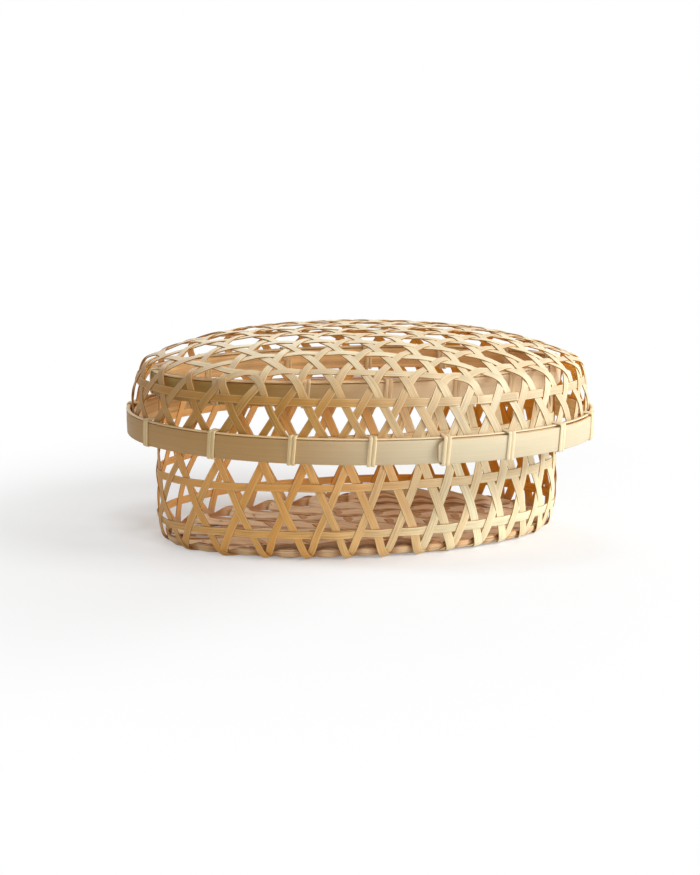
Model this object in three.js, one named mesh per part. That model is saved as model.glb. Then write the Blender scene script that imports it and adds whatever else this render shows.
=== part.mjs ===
// A woven bamboo box with a lift-off lid, in open hexagonal weave.
// Millimetres. X runs along the box, Y goes back and Z goes up from the table.
import * as THREE from 'three';

// Driving dimensions of the lid over its outer hoop. The base stands in by an overhang on every side.
const lidLength = 210;
const lidDepth = 146;
const endOverhang = 12;
const sideOverhang = 24;
const baseTurn = THREE.MathUtils.degToRad(11);

// Split bamboo strips of the weave.
const stripWidth = 3.3;
const stripThick = 0.8;
const clearance = 0.3;
const hoopClearance = 0.45;

// Rim hoops and the cane that lashes them.
const outerHoopThick = 1.6;
const innerHoopThick = 1.2;
const capThick = 0.6;
const lidHoopHeight = 10;
const baseHoopHeight = 9.4;
const hoopStepCount = 56;
const lapLength = 62;
const lapBlendLength = 50;
const lapTipLength = 3.6;
const lapTipGap = 3.6;
const caneWidth = 1.1;
const caneThick = 0.6;

// Heights of the base: rows where the slanted strips cross, and the rim.
const footCrossHeight = 1.6;
const baseCrossPitch = 20.5;
const baseCrossRows = 3;
const baseRimTop = 77.2;
const bellyInset = 0.7;
const bellyHeight = 22;
const shoulderHeight = 48;
const footHeight = 18;
const footInset = 4.4;
const footTailLength = 2.2;
const baseTailShort = 1.6;

// Heights of the lid above its rim's lower edge.
const lidCrossHeight = 18;
const lidCrossRows = 1;
const lidShoulderHeight = 31.3;
const lidShoulderInset = 7.2;
const lidCrownHeight = 46.1;
const lidTailHeight = 7.4;
const crownPower = 3.4;
const crownShift = 0.8;

// Weave counts: strips along the front, the end and the corner of the hexagonal field.
const lidSides = [6, 6, 4];
const baseSides = [5, 5, 3];
const lidStartShare = 0.619;
const baseStartShare = 0.5832;
const crossesPerLashing = 2;
const tipHeightShares = [0.62, 0.9];
const lidLapLashing = 3;
const baseLapLashing = 6;

// The hand-made weave stands closer on one side of the box and wider on the other.
const lidCrowding = { share: 0.0346, atShare: 0.897 };
const baseCrowding = { share: 0.0389, atShare: 0.9253 };

// Floor mat of broad strips.
const matStripCount = 9;
const matStripThick = 1.8;
const matEndSteps = 5;

const colours = { skin: 0xd9bf8c, core: 0xe2c692, cane: 0xddc08a, mat: 0xd8ac82 };

const relaxSweeps = 300;

// Half sizes of an oval that lies a given inset inside the outline.
function lidHalf(inset) {
  return [lidLength / 2 - inset, lidDepth / 2 - inset];
}

function baseHalf(inset) {
  return lidHalf(0).map((half, side) => half - [endOverhang, sideOverhang][side] - inset);
}

// Angle on an oval that is reached after a share of its full length, from the +X end.
const lidOval = new THREE.EllipseCurve(0, 0, ...lidHalf(0));
const baseOval = new THREE.EllipseCurve(0, 0, ...baseHalf(0));

function lidAngle(share) {
  return lidOval.getUtoTmapping(share - Math.floor(share)) * 2 * Math.PI;
}

function baseAngle(share) {
  return baseOval.getUtoTmapping(share - Math.floor(share)) * 2 * Math.PI;
}

function onOval([halfLength, halfDepth], angle, height) {
  return new THREE.Vector3(halfLength * Math.cos(angle), halfDepth * Math.sin(angle), height);
}

function crowded(share, crowding) {
  return share - crowding.share * Math.sin(2 * Math.PI * (share - crowding.atShare));
}

// The rim is a stack: outer hoop, weave, inner hoop, and a cap strip on top.
const wallInset = outerHoopThick + hoopClearance + stripThick / 2;
const innerHoopInset = wallInset + stripThick / 2 + hoopClearance;
const stackInset = innerHoopInset + innerHoopThick;
const capRise = clearance + capThick;
const matInset = bellyInset + footInset + footTailLength + stripWidth / 3;

// The lid's wall stands straight in its rim, then leans in and a little to one side.
function lidWallPoint(share, height) {
  const rise = Math.max(0, (height - lidHoopHeight) / (lidShoulderHeight - lidHoopHeight));
  const inset = wallInset + (lidShoulderInset - wallInset) * rise * rise;
  const point = onOval(lidHalf(inset), lidAngle(crowded(share, lidCrowding)), height);
  point.x += crownShift * rise * rise;
  return point;
}

// The lid's crown is a shallow dome over the oval of its shoulder.
function lidCrownPoint(x, y) {
  const [halfLength, halfDepth] = lidHalf(lidShoulderInset);
  const reach = Math.hypot((x - crownShift) / halfLength, y / halfDepth);
  const drop = (lidCrownHeight - lidShoulderHeight) * reach ** crownPower;
  return new THREE.Vector3(x, y, lidCrownHeight - drop);
}

// The base's wall narrows from its belly to the rim and curls in at the foot.
// A height below zero runs in along the ground.
function baseWallPoint(share, height) {
  const curl = Math.max(0, 1 - Math.max(0, height) / footHeight);
  const narrowing = THREE.MathUtils.smoothstep(height, bellyHeight, shoulderHeight);
  const wall = bellyInset + (wallInset - bellyInset) * narrowing;
  const inset = wall + footInset * curl * curl - Math.min(0, height);
  const level = Math.max(height, stripThick / 2);
  return onOval(baseHalf(inset), baseAngle(crowded(share, baseCrowding)), level);
}

// Points and triangles of the hexagonal field, with its border in order from the front's left corner.
function hexagonField([front, end, corner]) {
  const index = new Map();
  const points = [];
  for (let row = 0; row <= end + corner; row += 1) {
    const first = Math.max(-row, -corner);
    const last = Math.min(front, front + end - row);
    for (let column = first; column <= last; column += 1) {
      index.set(`${column},${row}`, points.length);
      points.push([column, row]);
    }
  }
  const at = (column, row) => index.get(`${column},${row}`);
  const triangles = [];
  for (const [column, row] of points) {
    const here = at(column, row);
    const right = at(column + 1, row);
    const above = at(column, row + 1);
    const aboveLeft = at(column - 1, row + 1);
    if (right !== undefined && above !== undefined) triangles.push([here, right, above]);
    if (above !== undefined && aboveLeft !== undefined) triangles.push([here, above, aboveLeft]);
  }
  const border = [];
  let place = [0, 0];
  const walk = [[front, 1, 0], [end, 0, 1], [corner, -1, 1], [front, -1, 0], [end, 0, -1], [corner, 1, -1]];
  for (const [count, column, row] of walk) {
    for (let step = 0; step < count; step += 1) {
      border.push(at(...place));
      place = [place[0] + column, place[1] + row];
    }
  }
  return { count: points.length, triangles, border };
}

// Rows of points below or above a border ring, each shifted half a step along the last.
function addRows(ringStart, count, rows, firstNew, upward) {
  const rings = [ringStart];
  const triangles = [];
  for (let row = 1; row <= rows; row += 1) {
    const last = rings[row - 1];
    const ring = Array.from({ length: count }, (_, place) => firstNew + (row - 1) * count + place);
    for (let place = 0; place < count; place += 1) {
      const next = (place + 1) % count;
      if (upward) {
        triangles.push([last[place], last[next], ring[place]], [ring[place], last[next], ring[next]]);
      } else {
        triangles.push([last[place], ring[place], last[next]], [last[next], ring[place], ring[next]]);
      }
    }
    rings.push(ring);
  }
  return { rings, triangles };
}

// Moves the points inside the field until each lies in the middle of its neighbours.
function relaxField(field, placeOnBorder) {
  const places = Array.from({ length: field.count }, () => new THREE.Vector2(0, 0));
  const neighbours = Array.from({ length: field.count }, () => new Set());
  for (const triangle of field.triangles) {
    for (const point of triangle) {
      for (const other of triangle) if (other !== point) neighbours[point].add(other);
    }
  }
  const fixed = new Set(field.border);
  field.border.forEach((point, place) => places[point].copy(placeOnBorder(place)));
  for (let sweep = 0; sweep < relaxSweeps; sweep += 1) {
    places.forEach((place, point) => {
      if (fixed.has(point)) return;
      place.set(0, 0);
      for (const other of neighbours[point]) place.add(places[other]);
      place.divideScalar(neighbours[point].size);
    });
  }
  return places;
}

// A mesh of flat quads and triangles, turned so that its faces point out.
function solidFrom(corners, faces) {
  const index = faces.flatMap((face) => (face.length === 4
    ? [face[0], face[1], face[2], face[0], face[2], face[3]] : face));
  let volume = 0;
  for (let place = 0; place < index.length; place += 3) {
    const [a, b, c] = index.slice(place, place + 3).map((corner) => corners[corner]);
    volume += a.dot(b.clone().cross(c));
  }
  if (volume < 0) index.reverse();
  const geometry = new THREE.BufferGeometry().setFromPoints(corners);
  geometry.setIndex(index);
  return geometry;
}

// Strips cross at the middle of every edge. The four arms of a crossing follow in order, seen from outside.
function crossingsOf(triangles) {
  const across = new Map();
  for (const [a, b, c] of triangles) {
    across.set(`${a},${b}`, c);
    across.set(`${b},${c}`, a);
    across.set(`${c},${a}`, b);
  }
  const name = (a, b) => (a < b ? `${a},${b}` : `${b},${a}`);
  const crossings = new Map();
  for (const key of across.keys()) {
    const [from, to] = key.split(',').map(Number);
    const edge = name(from, to);
    if (crossings.has(edge)) continue;
    const left = across.get(`${from},${to}`);
    const right = across.get(`${to},${from}`);
    const arms = [
      right === undefined ? null : name(right, to),
      left === undefined ? null : name(to, left),
      left === undefined ? null : name(left, from),
      right === undefined ? null : name(from, right),
    ];
    crossings.set(edge, { edge, from, to, arms });
  }
  return crossings;
}

// The fused lattice: a lozenge at each crossing, a bar along each arm and a tail where a strip runs out.
// Nothing of it lies below its ground level, where the strips lie flat.
function latticeFrom(crossings, placeOf, tailOf, ground) {
  const corners = [];
  const faces = [];
  const half = stripWidth / 2;
  const skin = stripThick / 2;
  const addPair = (point, normal) => {
    const outer = point.clone().addScaledVector(normal, skin);
    const inner = point.clone().addScaledVector(normal, -skin);
    outer.z = Math.max(outer.z, ground);
    inner.z = Math.max(inner.z, ground + stripThick);
    corners.push(outer, inner);
    return corners.length - 2;
  };
  const addTwoSides = (loop) => {
    faces.push(loop, loop.map((corner) => corner + 1).reverse());
  };
  const addEdge = (start, end) => faces.push([end, start, start + 1, end + 1]);
  for (const crossing of crossings.values()) crossing.place = placeOf(crossing);
  const ends = new Map();
  for (const crossing of crossings.values()) {
    const reach = crossing.arms.map((arm, side) => {
      if (arm) return crossings.get(arm).place;
      const tail = tailOf(crossing, side);
      ends.set(`${crossing.edge}:${side}`, tail);
      return tail;
    });
    const along = [0, 1].map((side) => reach[side].clone().sub(reach[side + 2]).normalize());
    const normal = along[0].clone().cross(along[1]);
    const spread = half / normal.length();
    normal.normalize();
    const signs = [[1, 1], [-1, 1], [-1, -1], [1, -1]];
    crossing.corners = signs.map(([first, second]) => addPair(crossing.place.clone()
      .addScaledVector(along[0], first * spread).addScaledVector(along[1], second * spread), normal));
    crossing.normal = normal;
    addTwoSides(crossing.corners);
  }
  for (const crossing of crossings.values()) {
    crossing.arms.forEach((arm, side) => {
      const right = crossing.corners[(side + 3) % 4];
      const left = crossing.corners[side];
      if (arm) {
        const other = crossings.get(arm);
        const back = other.arms.indexOf(crossing.edge);
        if (crossing.edge > other.edge) return;
        const farRight = other.corners[back];
        const farLeft = other.corners[(back + 3) % 4];
        addTwoSides([right, farRight, farLeft, left]);
        addEdge(right, farRight);
        addEdge(farLeft, left);
        return;
      }
      const tail = ends.get(`${crossing.edge}:${side}`);
      const along = tail.clone().sub(crossing.place).normalize();
      const across = crossing.normal.clone().cross(along).normalize().multiplyScalar(half);
      const farRight = addPair(tail.clone().sub(across), crossing.normal);
      const farLeft = addPair(tail.clone().add(across), crossing.normal);
      addTwoSides([right, farRight, farLeft, left]);
      addEdge(right, farRight);
      addEdge(farRight, farLeft);
      addEdge(farLeft, left);
    });
  }
  return solidFrom(corners, faces);
}

// Middle of two places on a ring of shares, which may straddle the start.
function middleShare(first, second) {
  const apart = second - first;
  return first + (apart - Math.round(apart)) / 2;
}

// A place beyond a crossing, in line with the arm that comes in on its other side.
function carryOn(chart, from, endHeight) {
  const apart = chart.share - from.share;
  const slope = (apart - Math.round(apart)) / (chart.height - from.height);
  return [chart.share + slope * (endHeight - chart.height), endHeight];
}

function lidWeave() {
  const field = hexagonField(lidSides);
  const share = (place, row) => lidStartShare + (place + row / 2) / lidCount;
  const [halfLength, halfDepth] = lidHalf(lidShoulderInset);
  const places = relaxField(field, (place) => {
    const angle = lidAngle(crowded(share(place, 0), lidCrowding));
    return new THREE.Vector2(halfLength * Math.cos(angle) + crownShift, halfDepth * Math.sin(angle));
  });
  const wall = addRows(field.border, lidCount, lidCrossRows, field.count, false);
  const chart = new Map();
  wall.rings.forEach((ring, row) => ring.forEach((point, place) => {
    chart.set(point, { share: share(place, row), height: row ? lidCrossHeight : lidShoulderHeight });
  }));
  const crossings = crossingsOf([...field.triangles, ...wall.triangles]);
  const borderPlace = new Map(field.border.map((point, place) => [point, place]));
  const onWall = ({ from, to }) => {
    if (!chart.has(from) || !chart.has(to)) return false;
    if (!borderPlace.has(from) || !borderPlace.has(to)) return true;
    const steps = Math.abs(borderPlace.get(from) - borderPlace.get(to));
    return steps === 1 || steps === lidCount - 1;
  };
  const chartOf = ({ from, to }) => {
    const [first, second] = [chart.get(from), chart.get(to)];
    return { share: middleShare(first.share, second.share), height: (first.height + second.height) / 2 };
  };
  const placeOf = (crossing) => {
    if (onWall(crossing)) {
      const { share: along, height } = chartOf(crossing);
      return lidWallPoint(along, height);
    }
    const middle = places[crossing.from].clone().add(places[crossing.to]).divideScalar(2);
    return lidCrownPoint(middle.x, middle.y);
  };
  const tailOf = (crossing, side) => {
    const before = crossings.get(crossing.arms[(side + 2) % 4]);
    return lidWallPoint(...carryOn(chartOf(crossing), chartOf(before), lidTailHeight));
  };
  return latticeFrom(crossings, placeOf, tailOf, 0);
}

function baseWeave() {
  const foot = Array.from({ length: baseCount }, (_, place) => place);
  const wall = addRows(foot, baseCount, baseCrossRows, baseCount, true);
  const chart = wall.rings.flatMap((ring, row) => ring.map((_, place) => ({
    share: baseStartShare + (place + row / 2) / baseCount,
    height: footCrossHeight + row * baseCrossPitch,
  })));
  const crossings = crossingsOf(wall.triangles);
  const chartOf = ({ from, to }) => ({
    share: middleShare(chart[from].share, chart[to].share),
    height: (chart[from].height + chart[to].height) / 2,
  });
  const placeOf = (crossing) => {
    const { share, height } = chartOf(crossing);
    return baseWallPoint(share, height);
  };
  const tailOf = (crossing, side) => {
    const here = chartOf(crossing);
    const before = chartOf(crossings.get(crossing.arms[(side + 2) % 4]));
    const end = here.height > before.height ? baseRimTop - baseTailShort : -footTailLength;
    return baseWallPoint(...carryOn(here, before, end));
  };
  return latticeFrom(crossings, placeOf, tailOf, 0);
}

// The rims: their ovals, where they stand, and the lashings, which sit in the gaps of the weave.
const lidCount = 2 * (lidSides[0] + lidSides[1] + lidSides[2]);
const baseCount = 2 * (baseSides[0] + baseSides[1] + baseSides[2]);

const lidRim = {
  half: lidHalf,
  angle: lidAngle,
  size: lidOval.getLength(),
  low: 0,
  height: lidHoopHeight,
  lashingCount: lidCount / crossesPerLashing,
  lapLashing: lidLapLashing,
  lashingShare: (place) => {
    const step = crossesPerLashing * place - lidCrossRows / 2;
    return crowded(lidStartShare + step / lidCount, lidCrowding);
  },
};

const baseRim = {
  half: baseHalf,
  angle: baseAngle,
  size: baseOval.getLength(),
  low: baseRimTop - baseHoopHeight,
  height: baseHoopHeight,
  lashingCount: baseCount / crossesPerLashing,
  lapLashing: baseLapLashing,
  lashingShare: (place) => {
    const step = crossesPerLashing * place + baseCrossRows / 2;
    return crowded(baseStartShare + step / baseCount, baseCrowding);
  },
};

// Angles of the outer hoop's lap: its visible end lies just before one of the lashings.
function lapOf(rim) {
  const share = rim.lashingShare(rim.lapLashing) - lapTipGap / rim.size;
  const start = rim.angle(share);
  const turnAfter = (length) => {
    const end = rim.angle(share + length / rim.size);
    return THREE.MathUtils.euclideanModulo(end - start, 2 * Math.PI);
  };
  const tip = turnAfter(lapTipLength);
  const full = turnAfter(lapLength);
  const settled = turnAfter(lapLength + lapBlendLength);
  return { start, tip, full, settled };
}

// How far the outer hoop stands out beyond its own run, at an angle past its visible end.
function lapRise(lap, past) {
  return (outerHoopThick + clearance) * (1 - THREE.MathUtils.smoothstep(past, lap.full, lap.settled));
}

// A band of rectangular section through a list of stations, each with its four corners.
function sweepStations(stations, closed) {
  const corners = stations.flat();
  const faces = [];
  const last = stations.length - 1;
  for (let place = 0; place < (closed ? stations.length : last); place += 1) {
    const here = place * 4;
    const next = ((place + 1) % stations.length) * 4;
    for (let side = 0; side < 4; side += 1) {
      const turned = (side + 1) % 4;
      faces.push([here + side, here + turned, next + turned, next + side]);
    }
  }
  if (!closed) faces.push([3, 2, 1, 0], [4 * last, 4 * last + 1, 4 * last + 2, 4 * last + 3]);
  return solidFrom(corners, faces);
}

function bandStation(rim, angle, inset, thick, low, high) {
  const outer = rim.half(inset);
  const inner = rim.half(inset + thick);
  const corner = (half, height) => onOval(half, angle, height);
  return [corner(outer, low), corner(outer, high), corner(inner, high), corner(inner, low)];
}

// The outer hoop starts with a rounded end outside its own run, settles onto it and ends under its start.
function outerHoop(rim) {
  const lap = lapOf(rim);
  const stepAngle = (2 * Math.PI) / hoopStepCount;
  const total = 2 * Math.PI + lap.full;
  const pasts = [0, lap.tip / 3, lap.tip];
  for (let past = stepAngle; past < total - stepAngle / 2; past += stepAngle) pasts.push(past);
  pasts.push(total);
  const stations = pasts.map((past, place) => {
    const trim = (rim.height * (1 - (tipHeightShares[place] ?? 1))) / 2;
    const low = rim.low + trim;
    const high = rim.low + rim.height - trim;
    return bandStation(rim, lap.start + past, -lapRise(lap, past), outerHoopThick, low, high);
  });
  return sweepStations(stations, false);
}

// A closed band: the inner hoop stands up and the cap strip lies flat.
function closedBand(rim, inset, thick, low, height) {
  const stations = Array.from({ length: hoopStepCount }, (_, place) => {
    const angle = (2 * Math.PI * place) / hoopStepCount;
    return bandStation(rim, angle, inset, thick, low, low + height);
  });
  return sweepStations(stations, true);
}

// Two turns of cane round the rim, side by side, with a slanting pass between them.
function lashing(rim, place) {
  const lap = lapOf(rim);
  const angle = rim.angle(rim.lashingShare(place));
  const [halfLength, halfDepth] = rim.half(wallInset);
  const middle = onOval([halfLength, halfDepth], angle, 0);
  const along = new THREE.Vector3(-halfLength * Math.sin(angle), halfDepth * Math.cos(angle), 0).normalize();
  const inward = new THREE.Vector3(-along.y, along.x, 0);
  const past = THREE.MathUtils.euclideanModulo(angle - lap.start, 2 * Math.PI);
  const outside = -lapRise(lap, past) - hoopClearance - wallInset;
  const inside = stackInset + hoopClearance - wallInset;
  const floor = rim.low - clearance;
  const ceiling = rim.low + rim.height + capRise + clearance;
  const step = (caneWidth + clearance) / 2;
  const corners = [[true, false], [false, false], [false, true], [true, true]];
  const stations = [-step, step].flatMap((offset) => corners.map(([isInside, isHigh]) => {
    const near = new THREE.Vector2(isInside ? inside : outside, isHigh ? ceiling : floor);
    const thicker = new THREE.Vector2(isInside ? caneThick : -caneThick, isHigh ? caneThick : -caneThick);
    const far = near.clone().add(thicker);
    const corner = (spot, side) => middle.clone().addScaledVector(inward, spot.x)
      .addScaledVector(along, offset + side * caneWidth / 2).setZ(spot.y);
    return [corner(near, -1), corner(near, 1), corner(far, 1), corner(far, -1)];
  }));
  return sweepStations(stations, false);
}

// One broad strip of the floor mat, cut to the oval at both ends.
function matStrip(place) {
  const [halfLength, halfDepth] = baseHalf(matInset);
  const pitch = (2 * halfDepth) / matStripCount;
  const low = -halfDepth + place * pitch + clearance / 2;
  const high = low + pitch - clearance;
  const reachAt = (y) => halfLength * Math.sqrt(Math.max(0, 1 - (y / halfDepth) ** 2));
  const across = (step) => low + ((high - low) * step) / matEndSteps;
  const side = Array.from({ length: matEndSteps + 1 }, (_, step) => across(step));
  const right = side.map((y) => new THREE.Vector2(reachAt(y), y));
  const left = side.map((y) => new THREE.Vector2(-reachAt(y), y)).reverse();
  const outline = new THREE.Shape([...right, ...left]);
  return new THREE.ExtrudeGeometry(outline, { depth: matStripThick, bevelEnabled: false });
}

// The lid hangs on the base's rim: its shoulder rests on the cane turns at the base's two ends.
function lidLift() {
  const rimStack = baseRimTop + capRise + clearance + caneThick;
  const [halfLength] = baseHalf(-hoopClearance - caneThick);
  const underCrown = lidCrownPoint(-halfLength * Math.cos(baseTurn), -halfLength * Math.sin(baseTurn)).z;
  return rimStack + clearance + stripThick / 2 - underCrown;
}

const box = new THREE.Group();
const base = new THREE.Group();
const lid = new THREE.Group();
base.rotation.z = baseTurn;
lid.position.z = lidLift();
box.add(base, lid);

function addPiece(group, name, geometry, color, roughness) {
  const piece = new THREE.Mesh(geometry, new THREE.MeshStandardMaterial({ color, roughness, metalness: 0 }));
  piece.name = name;
  group.add(piece);
}

function numbered(name, place) {
  return `${name}_${String(place + 1).padStart(2, '0')}`;
}

function addRim(group, side, rim, capWidth) {
  const inner = closedBand(rim, innerHoopInset, innerHoopThick, rim.low, rim.height);
  const cap = closedBand(rim, 0, capWidth, rim.low + rim.height + clearance, capThick);
  addPiece(group, `${side}_rim_outer_hoop`, outerHoop(rim), colours.skin, 0.5);
  addPiece(group, `${side}_rim_inner_hoop`, inner, colours.core, 0.6);
  addPiece(group, `${side}_rim_cap_strip`, cap, colours.core, 0.6);
  for (let place = 0; place < rim.lashingCount; place += 1) {
    addPiece(group, numbered(`${side}_rim_lashing`, place), lashing(rim, place), colours.cane, 0.6);
  }
}

function addMat() {
  for (let place = 0; place < matStripCount; place += 1) {
    addPiece(base, numbered('base_mat_strip', place), matStrip(place), colours.mat, 0.75);
  }
}

addPiece(base, 'base_weave', baseWeave(), colours.skin, 0.55);
addMat();
addRim(base, 'base', baseRim, stackInset);
addPiece(lid, 'lid_weave', lidWeave(), colours.skin, 0.55);
addRim(lid, 'lid', lidRim, outerHoopThick);

export default box;
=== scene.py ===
"""Looks of a woven bamboo box with a lift-off lid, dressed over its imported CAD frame.

Metres, in the CAD frame: X runs along the box, Y goes to the back and Z up from the table.
"""

import math

import bpy
import numpy as np
from bpy.props import FloatProperty, FloatVectorProperty, PointerProperty
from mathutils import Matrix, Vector


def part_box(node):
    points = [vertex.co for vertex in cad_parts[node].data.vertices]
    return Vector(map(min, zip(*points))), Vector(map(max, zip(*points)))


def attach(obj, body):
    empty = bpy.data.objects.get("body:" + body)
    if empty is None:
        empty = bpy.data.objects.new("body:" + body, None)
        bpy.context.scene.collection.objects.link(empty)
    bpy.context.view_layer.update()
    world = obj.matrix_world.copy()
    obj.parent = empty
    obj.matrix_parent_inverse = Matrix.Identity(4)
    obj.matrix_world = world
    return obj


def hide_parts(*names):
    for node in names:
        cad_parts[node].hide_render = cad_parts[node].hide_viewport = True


bl_info = {
    "name": "Woven lidded box",
    "version": (1, 0, 0),
    "blender": (4, 5, 0),
    "location": "3D View > Sidebar > Woven box",
    "description": "Weaves a lidded box of split bamboo over its CAD frame, with its light and floor",
    "category": "Add Mesh",
}

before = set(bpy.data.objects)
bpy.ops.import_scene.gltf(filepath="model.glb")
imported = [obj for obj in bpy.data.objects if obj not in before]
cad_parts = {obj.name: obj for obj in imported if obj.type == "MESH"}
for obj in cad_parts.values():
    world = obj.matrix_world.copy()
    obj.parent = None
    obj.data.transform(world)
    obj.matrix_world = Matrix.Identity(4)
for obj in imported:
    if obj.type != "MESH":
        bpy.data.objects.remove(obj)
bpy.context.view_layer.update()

MM = 0.001

# Rim stack from the outside in: outer hoop, weave, inner hoop.
OUTER_HOOP = 1.6 * MM
INNER_HOOP = 1.2 * MM
CAD_STRIP = 0.8 * MM
HOOP_GAP = 0.45 * MM
GAP = 0.3 * MM
CAP = 0.6 * MM
WALL_INSET = OUTER_HOOP + HOOP_GAP + CAD_STRIP / 2
INNER_INSET = WALL_INSET + CAD_STRIP / 2 + HOOP_GAP
STACK = INNER_INSET + INNER_HOOP

# Run of the lid's wall and crown above its rim's lower edge.
LID_HOOP = 10 * MM
LID_CROSS = 18 * MM
LID_SHOULDER = 31.3 * MM
LID_SHOULDER_INSET = 7.2 * MM
LID_CROWN = 45.85 * MM
LID_TAIL = 7.4 * MM
CROWN_POWER = 3.4
CROWN_SHIFT = 0.8 * MM

# Run of the base's wall from the foot to the rim.
BASE_HOOP = 9.4 * MM
BASE_RIM_TOP = 77.2 * MM
FOOT_CROSS = 1.6 * MM
BASE_PITCH = 20.5 * MM
BELLY_INSET = 0.7 * MM
BELLY = 22 * MM
SHOULDER = 48 * MM
FOOT = 18 * MM
FOOT_INSET = 4.4 * MM
BASE_TAIL = 75.6 * MM
FLOOR_LEVEL = 0.8 * MM

# Strips along the front, the end and the corner of each hexagonal field.
LID_SIDES = (6, 6, 4)
BASE_SIDES = (5, 5, 3)

# Shares of the outline: where the field's border starts, and how much and round which place the weave
# stands closer.
LID_START = 0.619
BASE_START = 0.5832
LID_CROWDING = (0.0346, 0.897)
BASE_CROWDING = (0.0389, 0.9253)

# Outer hoop's lap, counted from its visible end.
LAP = 62 * MM
LAP_BLEND = 50 * MM
LAP_TIP = 3.6 * MM
LAP_TIP_GAP = 3.6 * MM
LID_LAP_LASHING = 3
BASE_LAP_LASHING = 6

# First lashing of each rim, in steps of the weave from its start.
LID_FIRST_STEP = -0.5
BASE_FIRST_STEP = 1.5

# Lift of a strip off the middle of its weave, as a share of its thickness, and with a mat strip between.
LIFT = 0.56
MAT_LIFT = 0.92

# A woven strip: its bevels, its raised middle and its samples from knot to knot.
STRIP_EDGE = 0.13 * MM
STRIP_CROWN = 0.05 * MM
STRIP_SAMPLES = 7

# Four waves along a strip, by their run for each radian: it wanders off its line in the first two, sways
# in width in the third and rolls in the fourth. Strips also differ in width, and stay over the table.
WAVES = np.array([21, 9, 30, 17]) * MM
WANDER = 0.16 * MM
SECOND_WANDER_SHARE = 0.6
SWAY_SHARE = 0.025
SPREAD_SHARE = 0.06
ROLL = 0.05
FLOOR_CLEARANCE = 0.02 * MM

# Strips are split broader towards the +X end, by these shares of their width.
BROADER_RUN = (-30 * MM, 45 * MM)
LID_BROADER_SHARE = 0.04
BASE_BROADER_SHARE = 0.24

# Climb from crossing to crossing below which a strip counts as level.
LEVEL_CLIMB = 1e-6 * MM

# Hoops in the weave: near which places they are spliced, over how many crossings, and how far their
# ends go on and stand apart, as shares of a step and of the strip's thickness.
LID_SPLICES = np.array([[50, -60, 24.7], [-60, 50, 24.7]]) * MM
BASE_SPLICES = np.array([[-40, -52, 32], [-32, -50, 11.9], [50, 40, 53]]) * MM
SPLICED = 3
SPLICE_END_SHARE = 0.36
SPLICE_LAYER_SHARE = 1.08

# Edges of the rim's bands, the share of its height with which the outer hoop's end starts, and a band's
# bevel and fullness as shares of its edge and its thickness.
OUTER_EDGE = 0.3 * MM
INNER_EDGE = 0.25 * MM
CAP_EDGE = 0.2 * MM
LAP_TIP_SHARE = 0.56
BAND_BEVEL_SHARE = 0.35
BAND_FULLNESS_SHARE = 0.05

# Cane of the lashings: its clearance round the rim and between turns, its bend and its lean.
CANE_THICKNESS = 0.55 * MM
CANE_GAP = 0.12 * MM
CANE_BEND = 0.75 * MM
CANE_LEAN = 0.45 * MM
CANE_EDGE = 0.16 * MM
CANE_CROWN = 0.08 * MM

# Floor mat: samples of a strip from knot to knot, its half width and arch at a crossing, and what each
# gains between two crossings.
MAT_SAMPLES = 8
MAT_HALF = 5.1 * MM
MAT_HALF_GAIN = 1.1 * MM
MAT_ARCH = 0.12 * MM
MAT_ARCH_GAIN = 1.5 * MM

# How a mat strip leans to and fro in a wave, how far its edge may sink, its thickness and lowest level,
# and the share of its width that its ends begin with, over this part of the way to the next knot.
MAT_LEAN = 0.35 * MM
MAT_LEAN_WAVE = 13 * MM
MAT_SINK = 0.3 * MM
MAT_THICKNESS = 0.36 * MM
MAT_LEVEL = 0.35 * MM
MAT_END_SHARE = 0.45
MAT_END_RUN = 0.7

# A mat strip's section: each corner's share of the half width and of the thickness, the ripples of its
# arch as shares of it with their waves over the half width, and the outer side's share kept at its
# pinches, which sets how much painted shade they get.
MAT_ACROSS_SHARES = np.array([-1, -0.93, -0.68, -0.34, 0, 0.34, 0.68, 0.93, 1, 0.93, 0.5, 0, -0.5, -0.93])
MAT_TOP_SHARES = np.array([0.3, 0.65, 0.88, 0.97, 1, 0.97, 0.88, 0.65, 0.3, 0, 0, 0, 0, 0])
MAT_RIPPLE_SHARES = (0.10, 0.07)
MAT_RIPPLE_WAVES = (9, 17)
MAT_PINCHED_SIDE = 0.36

# Where a mat strip meets the foot: its clearance, and how it is drawn in and curls up there.
MAT_FOOT_GAP = 1.6 * MM
MAT_DRAWN_SHARE = 0.8
MAT_CURL_SHARE = 0.75

# Strip round the foot: height of its middle, half width and depth behind a turn of the wall's strips,
# and what each gains between two turns.
FOOT_STRIP_HEIGHT = 2.3 * MM
FOOT_STRIP_HEIGHT_GAIN = 0.7 * MM
FOOT_STRIP_HALF = 0.7 * MM
FOOT_STRIP_HALF_GAIN = 1.6 * MM
FOOT_STRIP_DEPTH = 0.8 * MM
FOOT_STRIP_BOW = 0.95 * MM

# Its thickness, its tilt and the turns over which that wanders, its lowest level, how much the swells
# differ in size, how its grain is laid over its height, and how far a swell clears the painted shade
# that darkens the strip behind each turn of the wall's strips.
FOOT_STRIP_THICKNESS = 0.5 * MM
FOOT_STRIP_TILT = 0.3 * MM
FOOT_STRIP_TURNS = 1.7
FOOT_STRIP_LEVEL = 0.1 * MM
FOOT_STRIP_SIZES = (0.85, 1.2)
FOOT_STRIP_GRAIN = 2.3
FOOT_STRIP_GRAIN_MIDDLE = 2.6 * MM
FOOT_STRIP_SIDE_SHARE = 0.5

# The foot strip's section, as shares of its half width: down the outer face and up the inner one.
FOOT_STRIP_OUTER_SHARES = np.array([1, 0.86, 0.5, 0, -0.5, -0.86, -1])
FOOT_STRIP_INNER_SHARES = np.array([-0.8, 0, 0.8])
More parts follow.
